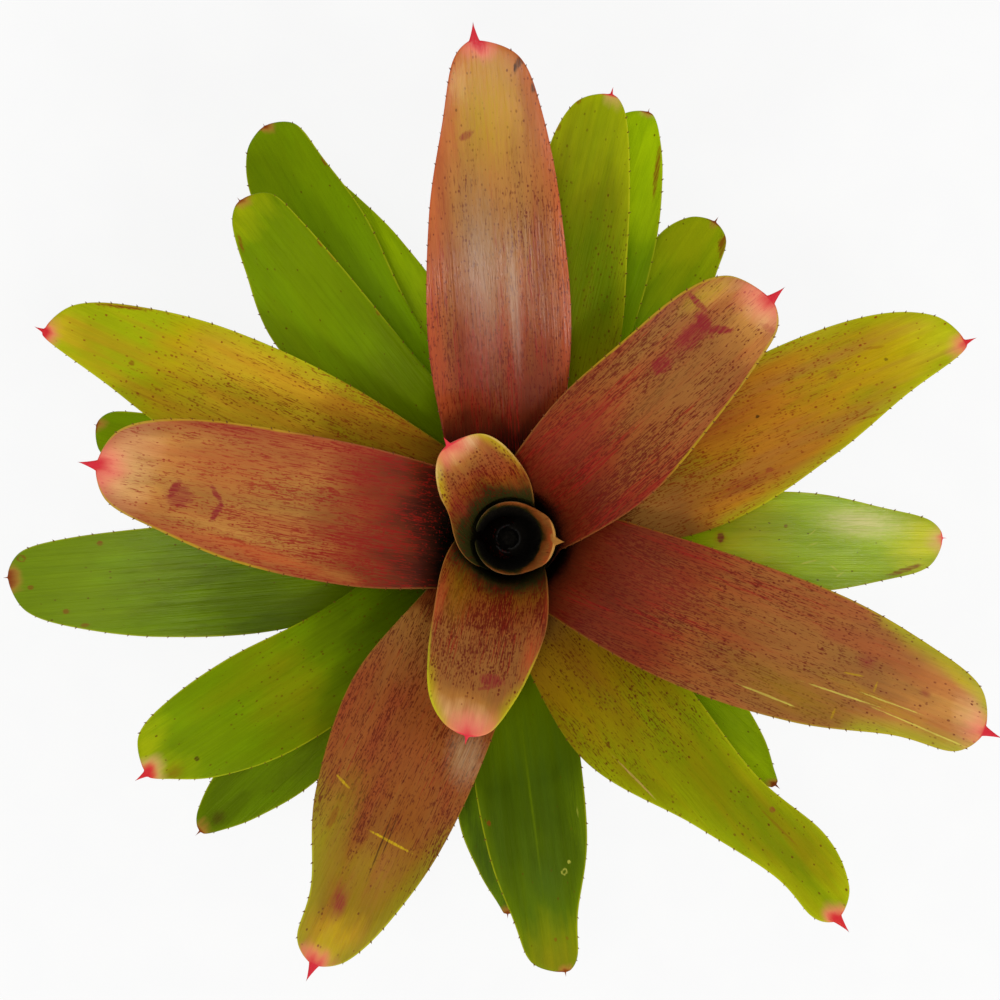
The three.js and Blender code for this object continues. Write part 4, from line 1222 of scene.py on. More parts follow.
def ground_colour(tree, rules, b, to_margin, grains, blade):
    by_cloud = sums(tree, "MULTIPLY", grains["Cloud"], SHIFT_BY_CLOUD)
    shift = sums(tree, "MULTIPLY_ADD", grains["Streaks"], SHIFT_BY_STREAKS, by_cloud)
    shifted = sums(tree, "SUBTRACT", sums(tree, "ADD", b, shift), SHIFT_MIDDLE)
    colour = places(tree, shifted, [(at, PAINTS[name]) for at, name in rules["along"]], tuple)
    grown = step(tree, shifted, *(share * blade for share in PATCHES_SET_IN))
    for (paint_name, share), grain in zip(rules["patches"], ("Mottle", "Broad")):
        patch = step(tree, grains[grain], *PATCH_BORDERS, 0.0, share)
        colour = blend(tree, sums(tree, "MULTIPLY", grown, patch), colour, PAINTS[paint_name])
    edge_paint, edge_reach, edge_from, edge_share = rules["edge"]
    near_edge = step(tree, to_margin, edge_reach, 0.0, 0.0, edge_share)
    set_in = step(tree, shifted, edge_from, edge_from + EDGE_SETS_IN)
    near_edge = sums(tree, "MULTIPLY", near_edge, set_in)
    return blend(tree, near_edge, colour, PAINTS[edge_paint])


def shaded(tree, colour, grains):
    light = LIGHT_BASE
    for grain, share in LIGHT_BY.items():
        light = sums(tree, "MULTIPLY_ADD", grains[grain], share, light)
    shade = node(tree, "ShaderNodeCombineColor", {0: light, 1: light, 2: light}).outputs[0]
    return blend(tree, 1.0, colour, shade, "MULTIPLY")


print("grains that shade a leaf:", len(LIGHT_BY))

# %% [markdown]
# ## The pigments
#
# The red in a leaf is a layer of its own: long streaks in bands, fine dashes and round freckles in
# clusters. Streaks and dashes are drawn where their noise rises above a level, and the level falls
# where the pigment is thicker, so that the marks both widen and join, as the real ones do.

# %% Streaks, dashes and freckles
PIGMENT_LEVEL, PIGMENT_FALL = 0.7, -0.26  # the level with no pigment, and what full pigment adds
PIGMENTS = {  # the grain that draws it, and how soft its borders are
    "streaks": ("Streaks", 0.07),
    "dashes": ("Dashes", 0.06),
}
CLUSTERS = {  # the grain that gathers it, that grain's range, and the least and most it gives
    "streaks": ("Broad", 0.38, 0.62, 0.45, 1.25),
    "dashes": ("Mottle", 0.3, 0.7, 0.6, 1.3),
    "dots": ("Mottle", 0.4, 0.6, 0.35, 1.6),
}
FULL_STRENGTH, MOST_PIGMENT, MOST_FRECKLE = 2.5, 0.8, 0.9
NECK_CLEAR = 2.0, 0.08  # pigment sets in over this many mm, and this share of the blade


def thickness(tree, key, rules, b, grains):
    """How thickly a pigment lies: by its place along the leaf, gathered in bands or clusters."""
    grain, start, end, least, most = CLUSTERS[key]
    gathered = step(tree, grains[grain], start, end, least, most)
    return sums(tree, "MULTIPLY", places(tree, b, rules[key], strength), gathered)


def add_pigments(tree, colour, rules, b, grains, blade):
    onward = step(tree, b, 0.0, NECK_CLEAR[0] + NECK_CLEAR[1] * blade)
    for key, (grain, softness) in PIGMENTS.items():
        thick = thickness(tree, key, rules, b, grains)
        level = sums(tree, "MULTIPLY_ADD", thick, PIGMENT_FALL, PIGMENT_LEVEL)
        share = over(tree, grains[grain], level, softness)
        most = sums(tree, "MINIMUM", sums(tree, "MULTIPLY", thick, FULL_STRENGTH), MOST_PIGMENT)
        share = sums(tree, "MULTIPLY", sums(tree, "MULTIPLY", share, most), onward)
        paint_name = "streak_red" if key == "streaks" else rules["pigment"]
        colour = blend(tree, share, colour, PAINTS[paint_name])
    return colour


def add_freckles(tree, colour, strip, rules, b, grains):
    sockets = {"Strip": strip, "Density": thickness(tree, "dots", rules, b, grains)}
    freckles = grouped(tree, FRECKLES, sockets | {"Size": rules["dot"]})
    dots = sums(tree, "MULTIPLY", freckles["Dots"], MOST_FRECKLE)
    return blend(tree, dots, colour, PAINTS[rules["pigment"]])


print("pigments:", len(CLUSTERS))

# %% [markdown]
# ## Scars, and the hard point
#
# A leaf's marks are blended in one by one, each a little broken along the streaks, as though
# brushed on. Then comes the point: a hard red cusp with a blush round it. Both are drawn by the
# distance from the blade's end, which noise makes a little uneven.

# %% Marks and tip
BRUSHED = 0.35, 0.6, 0.5, 1.0  # the streaks' range, and how much of a mark they leave
TIP_RAGGED = 14.0  # mm, for the whole range of the noise
BLUSH_FULL, MOST_BLUSH = 0.2, 0.8
CUSP_BORDER = 0.2  # mm


def add_marks(tree, colour, strip, marks, grain):
    """Blends the marks in one by one, each a little broken along the streaks."""
    brushed = step(tree, grain, *BRUSHED)
    for kind, paint_name, at_b, at_w, half_long, half_wide, turn, share in marks:
        sockets = {
            "Strip": strip,
            "Centre": (at_b, at_w, 0),
            "Shrink": (1 / half_long, 1 / half_wide, 0),
            "Turn": math.radians(-turn),
        }
        mark = grouped(tree, MARK, sockets)
        covered = sums(tree, "MULTIPLY", mark[kind], sums(tree, "MULTIPLY", brushed, share))
        colour = blend(tree, covered, colour, PAINTS[paint_name])
    return colour


def add_tip(tree, colour, strip, b, rules, blade, grain):
    """The hard cusp and the blush round it, by the distance from the blade's end."""
    cusp_paint, cusp_reach, blush_paint, blush_reach = rules["tip"]
    off = vectors(tree, "SUBTRACT", strip, (blade, 0, 0))
    distance = length(tree, vectors(tree, "MULTIPLY", off, (1, 1, 0)))
    uneven = sums(tree, "SUBTRACT", grain, 0.5)
    distance = sums(tree, "MULTIPLY_ADD", uneven, TIP_RAGGED, distance)
    blush = step(tree, distance, blush_reach, BLUSH_FULL * blush_reach, 0.0, MOST_BLUSH)
    colour = blend(tree, blush, colour, PAINTS[blush_paint])
    hard = step(tree, distance, cusp_reach, CUSP_BORDER)
    hard = sums(tree, "MAXIMUM", hard, step(tree, b, blade - 1, blade))
    return blend(tree, hard, colour, PAINTS[cusp_paint])


print("marks in all:", sum(len(rules["marks"]) for rules in FINISHES.values()))

# %% [markdown]
# ## Rim, underside and spines
#
# The margin is a thin hard line of another colour, which noise makes wider and narrower. Below,
# a leaf is paler and covered with grey scurf, the scales that it drinks with. The spines are the
# same dark brown on every leaf. All three are masked by what the mesh's points carry.

# %% Rim line, scurfy underside and spines
RIM_CHANGE = 6.0, 10.0  # mm before and after the place where the rim's paint changes
RIM_WIDTH_BY_CLOUD, RIM_WIDTH_LEAST = 1.6, 0.2
RIM_SOFTNESS, MOST_RIM = 0.5, 0.55
RIM_STARTS, RIM_ENDS = (-5.0, 8.0), (5.0, 9.0)  # mm from the neck, and before the tip
UNDERSIDE = paint(118, 124, 56)
SCURF = paint(172, 168, 118)
SCURF_PATCHES = 0.4, 0.65, 0.15, 0.6
UNDERSIDE_SHARE, UNDER_BORDER, SPINE_SHARE = 0.35, (0.55, 0.95), 0.85


def add_rim(tree, colour, rules, b, to_margin, to_tip, grain):
    near_paint, near_width, far_paint, far_width, change = rules["margin"]
    further = step(tree, b, change - RIM_CHANGE[0], change + RIM_CHANGE[1])
    width = sums(tree, "MULTIPLY_ADD", further, far_width - near_width, near_width)
    uneven = sums(tree, "MULTIPLY_ADD", grain, RIM_WIDTH_BY_CLOUD, RIM_WIDTH_LEAST)
    width = sums(tree, "MULTIPLY", width, uneven)
    rim_paint = blend(tree, further, PAINTS[near_paint], PAINTS[far_paint])
    line = over(tree, width, to_margin, RIM_SOFTNESS)
    rim = sums(tree, "MULTIPLY", line, step(tree, b, *RIM_STARTS, 0.0, MOST_RIM))
    rim = sums(tree, "MULTIPLY", rim, step(tree, to_tip, *RIM_ENDS))
    return blend(tree, rim, colour, rim_paint)


def add_underside_and_spines(tree, colour, under, horn, grain):
    scurf = step(tree, grain, *SCURF_PATCHES)
    below = blend(tree, scurf, UNDERSIDE, SCURF)
    below = blend(tree, UNDERSIDE_SHARE, colour, below)
    colour = blend(tree, step(tree, under, *UNDER_BORDER), colour, below)
    return blend(tree, sums(tree, "MULTIPLY", horn, SPINE_SHARE), colour, PAINTS["spine"])


print("rim, underside and spines ready")

# %% [markdown]
# ## The whole leaf finish
#
# One material for each leaf puts the layers together from the bottom up. The skin is waxy: a
# satin gloss, broken into long lines by the veins, which a Bump node raises by a fraction of a
# millimetre. A green leaf's highlights are set yellowish, because white ones would look dusty.

# %% Build one leaf's finish
ROUGH_BY_STREAKS, ROUGH_BY_CLOUD = 0.2, 0.1
RELIEF_BY_STREAKS, LEAF_BUMP, LEAF_BUMP_HEIGHT = 0.6, 0.5, 0.0004  # the last in metres


def leaf_gloss(tree, shader, rules, grains):
    level, smoothest, tint = rules["gloss"]
    roughness = sums(tree, "MULTIPLY_ADD", grains["Streaks"], ROUGH_BY_STREAKS, smoothest)
    roughness = sums(tree, "MULTIPLY_ADD", grains["Cloud"], ROUGH_BY_CLOUD, roughness)
    tree.links.new(roughness, shader.inputs["Roughness"])
    relief = sums(tree, "MULTIPLY_ADD", grains["Streaks"], RELIEF_BY_STREAKS, grains["Veins"])
    sockets = {"Height": relief, "Strength": LEAF_BUMP, "Distance": LEAF_BUMP_HEIGHT}
    bump = node(tree, "ShaderNodeBump", sockets)
    tree.links.new(bump.outputs["Normal"], shader.inputs["Normal"])
    shader.inputs["Specular IOR Level"].default_value = level
    shader.inputs["Specular Tint"].default_value = (*tint, 1)


def leaf_finish(leaf):
    rules = FINISHES[leaf.name]
    blade = leaf.body_end - leaf.neck_s
    material = bpy.data.materials.new("finish_" + leaf.name)
    material.use_nodes = True
    tree = material.node_tree
    shader = tree.nodes["Principled BSDF"]
    strip = node(tree, "ShaderNodeAttribute", attribute_name="strip").outputs["Vector"]
    edge = node(tree, "ShaderNodeAttribute", attribute_name="edge").outputs["Vector"]
    horn = node(tree, "ShaderNodeAttribute", attribute_name="spine").outputs["Fac"]
    b = node(tree, "ShaderNodeSeparateXYZ", {0: strip}).outputs["X"]
    to_margin, to_tip, under = node(tree, "ShaderNodeSeparateXYZ", {0: edge}).outputs
    grains = grouped(tree, STREAKS, {"Strip": strip})

    colour = ground_colour(tree, rules, b, to_margin, grains, blade)
    colour = shaded(tree, colour, grains)
    colour = add_pigments(tree, colour, rules, b, grains, blade)
    colour = add_freckles(tree, colour, strip, rules, b, grains)
    colour = add_marks(tree, colour, strip, rules["marks"], grains["Streaks"])
    colour = add_tip(tree, colour, strip, b, rules, blade, grains["Cloud"])
    colour = add_rim(tree, colour, rules, b, to_margin, to_tip, grains["Cloud"])
    colour = add_underside_and_spines(tree, colour, under, horn, grains["Cloud"])
    tree.links.new(colour, shader.inputs["Base Color"])
    leaf_gloss(tree, shader, rules, grains)
    return material


print("leaf finish ready")

# %% [markdown]
# ## Grow the leaves
#
# Now each leaf is put together, skins and spines in one mesh, and stands for its solid.

# %% The 25 leaves


def add_piece(name, mesh):
    piece = bpy.data.objects.new(name, mesh)
    bpy.context.scene.collection.objects.link(piece)
    return piece


def settle(piece, solid):
    """A finished piece rides on the plant and stands for its solid."""
    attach(piece, "root")
    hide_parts(solid)


for leaf in leaves:
    net = Net()
    leaf_skins(net, leaf)
    spines(net, leaf)
    blade = add_piece(leaf.name + "_blade", net.mesh(leaf.name + "_blade"))
    blade.data.materials.append(leaf_finish(leaf))
    settle(blade, leaf.name)

# %% [markdown]
# ## Turned shapes
#
# The stem, the mix's filling and the pot are round, so each is an outline swept round the axis. A
# Screw modifier does the same, but here the script needs the points themselves, to sink scars and
# fibres into the stem and to lay chips round the filling.

# %% Sweep an outline round the axis


def turn_profile(profile, sides):
    """The points, faces and angles of a profile of (radius, z) swept round the axis."""
    profile = np.array(profile, float)
    angle = np.arange(sides) * 2 * math.pi / sides
    r, z = profile[:, :1], np.repeat(profile[:, 1:], sides, 1)
    points = np.stack([r * np.cos(angle), r * np.sin(angle), z], -1)
    number = np.arange(len(profile) * sides).reshape(len(profile), sides)
    number = np.concatenate([number, number[:, :1]], 1)
    corners = (number[:-1, :-1], number[:-1, 1:], number[1:, 1:], number[1:, :-1])
    faces = np.stack([corner.ravel() for corner in corners], -1)
    return points, faces.tolist(), angle


def along_profile(corners, spacing):
    """A profile with points no further apart than spacing, its corners kept."""
    corners = [np.array(c, float) for c in corners]
    made = [corners[0]]
    for a, b in zip(corners, corners[1:]):
        steps = max(1, math.ceil(np.linalg.norm(b - a) / spacing))
        made += [a + (b - a) * k / steps for k in range(1, steps + 1)]
    return np.array(made)


def closed_at_axis(points, faces):
    """Joins the first and the last row of a turned shape into one point each on the axis."""
    rows, sides = points.shape[:2]
    flat = points.reshape(-1, 3)
    keep = np.arange(rows * sides)
    keep[:sides] = 0
    keep[-sides:] = (rows - 1) * sides
    used = np.unique(keep)
    renumber = np.zeros(rows * sides, int)
    renumber[used] = np.arange(len(used))
    faces = [list(dict.fromkeys(int(renumber[keep[corner]]) for corner in face)) for face in faces]
    return flat[used], [face for face in faces if len(face) > 2]


print("points at 1 mm along a 10 mm line:", len(along_profile([(0, 0), (0, 10)], 1)))

# %% [markdown]
# ## The stem
#
# Little of the stem shows, but it carries every leaf: a short cone with a ring-shaped scar for
# each leaf, above a carrot of old leaf bases that goes down into the mix. The scars and the fibres
# are real relief, sunk into the turned points by a formula, because they show in its outline.

# %% Turn the stem
STEM_PROFILE = ((0, 58), (6, 58), (12, 75), (14, 83), (15.5, 90), (17, 92), (3, 128), (0, 130))
STEM_SHRINK = 0.4  # how far the fine stem stays inside its solid
STEM_SPACING, STEM_SIDES = 0.5, 96
SCAR_EVERY, SCAR_DEPTH, SCAR_WAVE = 1.5, 0.5, 1.2
FIBRE_DEPTH, FIBRES = 0.25, ((23, 0.4), (41, -0.9))  # how many round the stem, and their slant


def fibrous_stem():
    line = along_profile(STEM_PROFILE, STEM_SPACING)
    line[:, 0] = np.maximum(line[:, 0] - STEM_SHRINK, 0)
    points, faces, angle = turn_profile(line, STEM_SIDES)
    z = points[..., 2]
    (count, slant), (cross_count, cross_slant) = FIBRES
    scar = np.abs(((z + SCAR_WAVE * np.sin(2 * angle + z)) / SCAR_EVERY) % 1 - 0.5) * 2
    fibre = np.sin(count * angle + slant * z) * np.sin(cross_count * angle + cross_slant * z)
    sunk = SCAR_DEPTH * scar**3 + FIBRE_DEPTH * (1 + fibre) / 2
    radius = np.hypot(points[..., 0], points[..., 1])
    shrunk = np.clip(radius - sunk, 0, None) / np.maximum(radius, 1e-6)
    points[..., :2] *= shrunk[..., None]
    return make_mesh("stem_with_scars", *closed_at_axis(points, faces))


stem = add_piece("stem_with_scars", fibrous_stem())
settle(stem, "stem")
print("stem faces:", len(stem.data.polygons))

# %% [markdown]
# ## The bark mix
#
# Bromeliads are potted in coarse fir bark with some white perlite. A displaced surface looks like
# a lumpy cake, so the top is made of real chips: one rounded block is copied a few hundred times,
# each copy stretched, dented and turned by seeded chance, over a filling that closes the pot.

# %% A rounded block
BLOCK_SEGMENTS = (4, 3, 2)
CUBE_SHARE, BALL_SHARE, BALL_RADIUS = 0.72, 0.28, 1.35


def block(segments):
    """A rounded block of side 2 round the origin: points, and faces as corner numbers."""
    number, points, faces = {}, [], []
    for axis in range(3):
        a, b = (axis + 1) % 3, (axis + 2) % 3
        for end in (-1, 1):
            grid = []
            for i in range(segments[a] + 1):
                row = []
                for j in range(segments[b] + 1):
                    p = [0.0, 0.0, 0.0]
                    p[axis], p[a], p[b] = end, 2 * i / segments[a] - 1, 2 * j / segments[b] - 1
                    key = tuple(round(x, 6) for x in p)
                    if key not in number:
                        number[key] = len(points)
                        points.append(p)
                    row.append(number[key])
                grid.append(row)
            for i in range(segments[a]):
                for j in range(segments[b]):
                    face = [grid[i][j], grid[i + 1][j], grid[i + 1][j + 1], grid[i][j + 1]]
                    faces.append(face if end > 0 else face[::-1])
    points = np.array(points)
    out = np.linalg.norm(points, axis=1, keepdims=True)
    return points * (CUBE_SHARE + BALL_SHARE * BALL_RADIUS / out), np.array(faces)


BLOCK_POINTS, BLOCK_FACES = block(BLOCK_SEGMENTS)
print("points and faces of a block:", len(BLOCK_POINTS), len(BLOCK_FACES))

# %% [markdown]
# ### One chip, and one grain of perlite
#
# Chips of bark are long and flat and lie nearly level. Grains of perlite are small and round. All
# are kept between the stem and the pot's wall, and below the pot's rim.

# %% One loose piece in the pot
MIX_TOP, CHIP_TOP, MIX_SIDE, MIX_HOLE = 85.5, 90.4, 56.2, 17.5
CHIP_LONG, CHIP_WIDE, CHIP_THICK = (3, 6.5), (1.8, 3.8), (0.9, 1.8)  # half sizes
GRAIN_HALF, GRAIN_SHAPE = (1.0, 2.0), (1.1, 1, 0.9)
DENT = 0.16
CHIP_TILT_X, CHIP_TILT_Y = 0.28, 0.25  # radians, as the spread of a normal curve
CHIP_LIFT = (0.2, 3.2)


def loose_piece(rng, white):
    """A dented block's points, as they are cut and as they lie in the pot."""
    size = rng.uniform(*GRAIN_HALF) * np.array(GRAIN_SHAPE)
    if not white:
        size = np.array([rng.uniform(*span) for span in (CHIP_LONG, CHIP_WIDE, CHIP_THICK)])
    dent = DENT * rng.normal(size=BLOCK_POINTS.shape)
    local = (BLOCK_POINTS + dent) * size
    turn = Matrix.Rotation(rng.uniform(0, 2 * math.pi), 3, "Z")
    turn = turn @ Matrix.Rotation(rng.normal(0, CHIP_TILT_X), 3, "X")
    turn = turn @ Matrix.Rotation(rng.normal(0, CHIP_TILT_Y), 3, "Y")
    nearest, furthest = MIX_HOLE + 1.5, MIX_SIDE - 0.8 * size[:2].max()
    r = math.sqrt(rng.uniform(nearest**2, furthest**2))
    theta = rng.uniform(0, 2 * math.pi)
    centre = [r * math.cos(theta), r * math.sin(theta), MIX_TOP + rng.uniform(*CHIP_LIFT)]
    placed = local @ np.array(turn).T + np.array(centre)
    placed[:, 2] -= max(placed[:, 2].max() - CHIP_TOP, 0)
    out = np.hypot(placed[:, 0], placed[:, 1])
    too_far = np.minimum(MIX_SIDE / out, 1)
    too_near = np.maximum(MIX_HOLE / out, 1)
    placed[:, :2] *= (too_far * too_near)[:, None]
    return local, placed


print("a chip is up to", 2 * CHIP_LONG[1], "mm long")

# %% [markdown]
# ### The filled pot
#
# The points carry two things for the finish. "grain" is where a point lay in the uncut bark, so
# that each chip shows its own stretch of it. "kind" is a chip's tone, then 1 for perlite, and a
# spare number.

# %% Fill the pot with chips
CHIPS, PERLITE, CHIP_SEED = 520, 110, 52
UNCUT_BARK = 300  # mm of bark each way, from which the chips seem to be cut
FILLING_TONE, FILLING_SPACING, FILLING_ROUND = 0.15, 4, 64
FILLING_PROFILE = (
    (0, 2.4), (13.8, 2.4), (16.8, 6.4), (42.2, 6.4), (MIX_SIDE - 0.6, MIX_TOP),
    (MIX_HOLE, MIX_TOP + 1.5), (14.4, 82.7), (12.3, 74.7), (6.3, 57.7), (0, 57.7),
)


def bark_chips():
    rng = np.random.default_rng(CHIP_SEED)
    filling = along_profile(FILLING_PROFILE, FILLING_SPACING)
    points, faces, _ = turn_profile(filling, FILLING_ROUND)
    points, faces = closed_at_axis(points, faces)
    grains, kinds = [points], [np.tile([FILLING_TONE, 0.0, 0.0], (len(points), 1))]
    points, count = [points], len(points)
    for i in range(CHIPS + PERLITE):
        white = i >= CHIPS
        local, placed = loose_piece(rng, white)
        points.append(placed)
        faces += (BLOCK_FACES + count).tolist()
        grains.append(local + rng.uniform(0, UNCUT_BARK, 3))
        kinds.append(np.tile([rng.random(), float(white), rng.random()], (len(local), 1)))
        count += len(local)
    carried = {"grain": np.concatenate(grains), "kind": np.concatenate(kinds)}
    return make_mesh("bark_chips", np.concatenate(points), faces, **carried)


mix = add_piece("bark_chips", bark_chips())
settle(mix, "bark_mix")
print("chips:", CHIPS, "perlite grains:", PERLITE, "faces:", len(mix.data.polygons))

# %% [markdown]
# ## The nursery pot
#
# The pot is moulded plastic: a tapered wall, a thicker band below a rounded rim, a foot ring and a
# raised floor with drain holes. Turning its section round the axis gives all but the holes, which
# a Boolean modifier drills. The finished mesh is kept, and the drills are thrown away.

# %% Mould the pot
POT_SECTION = (
    (0, 0), (14, 0), (15, 0.6), (16.4, 3.4), (17.4, 4), (35.6, 4), (36.6, 3.4), (38.2, 0.5),
    (39.2, 0), (42.4, 0), (43.1, 0.7), (56.4, 84.6), (56.9, 85.6), (57.9, 86), (59.6, 86.1),
    (60.2, 86.7), (60.5, 87.6), (61, 98.4), (60.7, 99.4), (60, 99.95), (59.2, 99.9), (58.6, 99.2),
    (58.4, 98.4), (56.6, 87.4), (54.9, 85.4), (42, 6.4), (41.4, 6), (17, 6), (14.3, 2.4),
    (13.6, 2), (0, 2),
)
POT_ROUND, POT_SPACING = 144, 6
HOLES, HOLE_RADIUS, HOLE_RING = 5, 5, 28
DRILL_FROM, DRILL_TO, DRILL_ROUND = -2, 12, 40
POT_SHARP = math.radians(35)  # edges that bend by more than this stay crisp


def drill_bits():
    profile = [(0, DRILL_FROM), (HOLE_RADIUS, DRILL_FROM), (HOLE_RADIUS, DRILL_TO), (0, DRILL_TO)]
    points, faces, _ = turn_profile(profile, DRILL_ROUND)
    points, faces = closed_at_axis(points, faces)
    turns = [2 * math.pi * i / HOLES for i in range(HOLES)]
    places_round = [np.array([math.cos(t), math.sin(t), 0]) * HOLE_RING for t in turns]
    all_faces = [[c + i * len(points) for c in face] for i in range(HOLES) for face in faces]
    return np.concatenate([points + place for place in places_round]), all_faces


def drilled(cup, drill):
    """The cup's mesh with the drill's holes in it."""
    cut = cup.modifiers.new("drain_holes", "BOOLEAN")
    cut.operation = "DIFFERENCE"
    cut.solver = "EXACT"
    cut.object = drill
    bpy.context.view_layer.update()
    seen = cup.evaluated_get(bpy.context.evaluated_depsgraph_get())
    return bpy.data.meshes.new_from_object(seen)


cup_points, cup_faces, _ = turn_profile(along_profile(POT_SECTION, POT_SPACING), POT_ROUND)
cup = add_piece("cup", make_mesh("cup", *closed_at_axis(cup_points, cup_faces)))
drill = add_piece("drill", make_mesh("drill", *drill_bits()))
pot_mesh = drilled(cup, drill)
pot_mesh.name = "nursery_pot"
bpy.data.objects.remove(cup)
bpy.data.objects.remove(drill)
pot = add_piece("nursery_pot", pot_mesh)
pot.data.set_sharp_from_angle(angle=POT_SHARP)
settle(pot, "pot")
print("pot faces:", len(pot.data.polygons))

# %% [markdown]
# ## The stem's finish
#
# The stem is fibrous and tan, with dark blots, and nearly black at the top, which is painted shade
# for the bottom of the heart's well. Its fibres run up and down, so the noise is stretched along Z.

# %% Fibres on the stem
BUMP_STRENGTH = 0.7
STEM_GRAIN = (900, 900, 90)  # noise cells to the metre
STEM_WELL_PAINTED_SHADE = 0.1, 0.112  # metres above the floor, between which the stem turns dark


def plain_finish(name):
    material = bpy.data.materials.new(name)
    material.use_nodes = True
    tree = material.node_tree
    return material, tree, tree.nodes["Principled BSDF"].inputs


def finish_with(tree, sockets, colour, roughness, height, distance):
    tree.links.new(colour, sockets["Base Color"])
    tree.links.new(roughness, sockets["Roughness"])
    relief = {"Height": height, "Strength": BUMP_STRENGTH, "Distance": distance}
    bump = node(tree, "ShaderNodeBump", relief)
    tree.links.new(bump.outputs["Normal"], sockets["Normal"])


def stem_finish():
    material, tree, sockets = plain_finish("finish_stem")
    here = node(tree, "ShaderNodeTexCoord").outputs["Object"]
    lines = noise(tree, vectors(tree, "MULTIPLY", here, STEM_GRAIN), 1.0, 4.0)
    blots = noise(tree, here, 120.0, 3.0)
    colour = blend(tree, step(tree, lines, 0.35, 0.65), paint(74, 50, 26), paint(150, 118, 74))
    colour = blend(tree, step(tree, blots, 0.5, 0.7, 0.0, 0.7), colour, paint(44, 30, 18))
    up = node(tree, "ShaderNodeSeparateXYZ", {0: here}).outputs["Z"]
    # painted shade: the top of the stem, down in the well, is made nearly black
    colour = blend(tree, step(tree, up, *STEM_WELL_PAINTED_SHADE), colour, paint(38, 34, 28))
    rough = step(tree, lines, 0.3, 0.7, 0.7, 0.9)
    finish_with(tree, sockets, colour, rough, lines, 0.0006)
    sockets["Specular IOR Level"].default_value = 0.1
    return material


stem.data.materials.append(stem_finish())
print("finish:", stem.data.materials[0].name)

# %% [markdown]
# ## The bark's finish
#
# Each chip has its own brown, from its tone, with the grain of bark along it and dark crumbs. The
# perlite is chalky white, by the mask that its points carry.

# %% Bark and perlite
BARK_GRAIN = (0.12, 1.3, 1.3)  # noise cells to the millimetre of a chip


def bark_finish():
    material, tree, sockets = plain_finish("finish_bark")
    grain_at = node(tree, "ShaderNodeAttribute", attribute_name="grain").outputs["Vector"]
    kind = node(tree, "ShaderNodeAttribute", attribute_name="kind").outputs["Vector"]
    tone, white, _ = node(tree, "ShaderNodeSeparateXYZ", {0: kind}).outputs
    lines = noise(tree, vectors(tree, "MULTIPLY", grain_at, BARK_GRAIN), 1.0, 4.0, 0.6)
    crumbs = noise(tree, grain_at, 1.6, 4.0, 0.65)
    dark = blend(tree, tone, paint(48, 30, 18), paint(104, 66, 40))
    lit = blend(tree, tone, paint(92, 60, 38), paint(166, 116, 74))
    colour = blend(tree, step(tree, lines, 0.38, 0.64), dark, lit)
    colour = blend(tree, step(tree, crumbs, 0.55, 0.72, 0.0, 0.6), colour, paint(34, 24, 16))
    chalk = blend(tree, step(tree, crumbs, 0.35, 0.7), paint(236, 232, 222), paint(196, 188, 172))
    colour = blend(tree, white, colour, chalk)
    height = sums(tree, "ADD", lines, crumbs)
    rough = step(tree, crumbs, 0.3, 0.7, 0.75, 0.95)
    finish_with(tree, sockets, colour, rough, height, 0.0008)
    return material


mix.data.materials.append(bark_finish())
print("finish:", mix.data.materials[0].name)

# %% [markdown]
# ## The pot's finish
#
# The pot is black plastic with fine upright draft lines from the mould and a faint pebbled skin. A
# little dust settles on it, most of all on the rim, where it also dulls the gloss.

# %% Black plastic and dust
DRAFT_GRAIN = (420, 420, 12)  # noise cells to the metre
RIM_BAND = 0.084, 0.1  # metres above the floor
DUST_BELOW, DUST_ON_RIM = 0.25, 0.6


def pot_finish():
    material, tree, sockets = plain_finish("finish_pot")
    here = node(tree, "ShaderNodeTexCoord").outputs["Object"]
    dust = noise(tree, here, 38.0, 5.0, 0.65)
    drafts = noise(tree, vectors(tree, "MULTIPLY", here, DRAFT_GRAIN), 1.0, 2.0)
    pebble = noise(tree, here, 1400.0, 2.0)
    up = node(tree, "ShaderNodeSeparateXYZ", {0: here}).outputs["Z"]
    settled = step(tree, up, *RIM_BAND, DUST_BELOW, DUST_ON_RIM)
    settled = sums(tree, "MULTIPLY", settled, step(tree, dust, 0.45, 0.75))
    colour = blend(tree, step(tree, drafts, 0.3, 0.7), paint(26, 27, 28), paint(36, 37, 38))
    colour = blend(tree, settled, colour, paint(112, 98, 80))
    rough = sums(tree, "MULTIPLY_ADD", settled, 0.35, step(tree, drafts, 0.3, 0.7, 0.38, 0.52))
    height = sums(tree, "MULTIPLY_ADD", drafts, 0.6, pebble)
    finish_with(tree, sockets, colour, rough, height, 0.0001)
    return material


pot.data.materials.append(pot_finish())
print("finish:", pot.data.materials[0].name)

# %% [markdown]
# ## The floor
#
# The floor is plain and pale. A white one would show the plant's shadow as a dark blot, so it is
# a middle grey that glows: it comes out nearly white, and the shadow stays faint.

# %% Floor
FLOOR_HALF = 3.0  # metres
FLOOR_GLOW = 0.825


def pale_floor():
    corners = [(-FLOOR_HALF, -FLOOR_HALF, 0), (FLOOR_HALF, -FLOOR_HALF, 0)]
    corners += [(FLOOR_HALF, FLOOR_HALF, 0), (-FLOOR_HALF, FLOOR_HALF, 0)]
    mesh = bpy.data.meshes.new("floor")
    mesh.from_pydata(corners, [], [(0, 1, 2, 3)])
    material, tree, sockets = plain_finish("pale_floor")
    here = node(tree, "ShaderNodeTexCoord").outputs["Object"]
    tone = step(tree, noise(tree, here, 40.0), 0.3, 0.7)
    pale = blend(tree, tone, paint(96, 96, 96), paint(99, 99, 98))
    tree.links.new(pale, sockets["Base Color"])
    sockets["Roughness"].default_value = 0.9
    sockets["Emission Color"].default_value = (1, 1, 1, 1)
    sockets["Emission Strength"].default_value = FLOOR_GLOW
    mesh.materials.append(material)
    return mesh


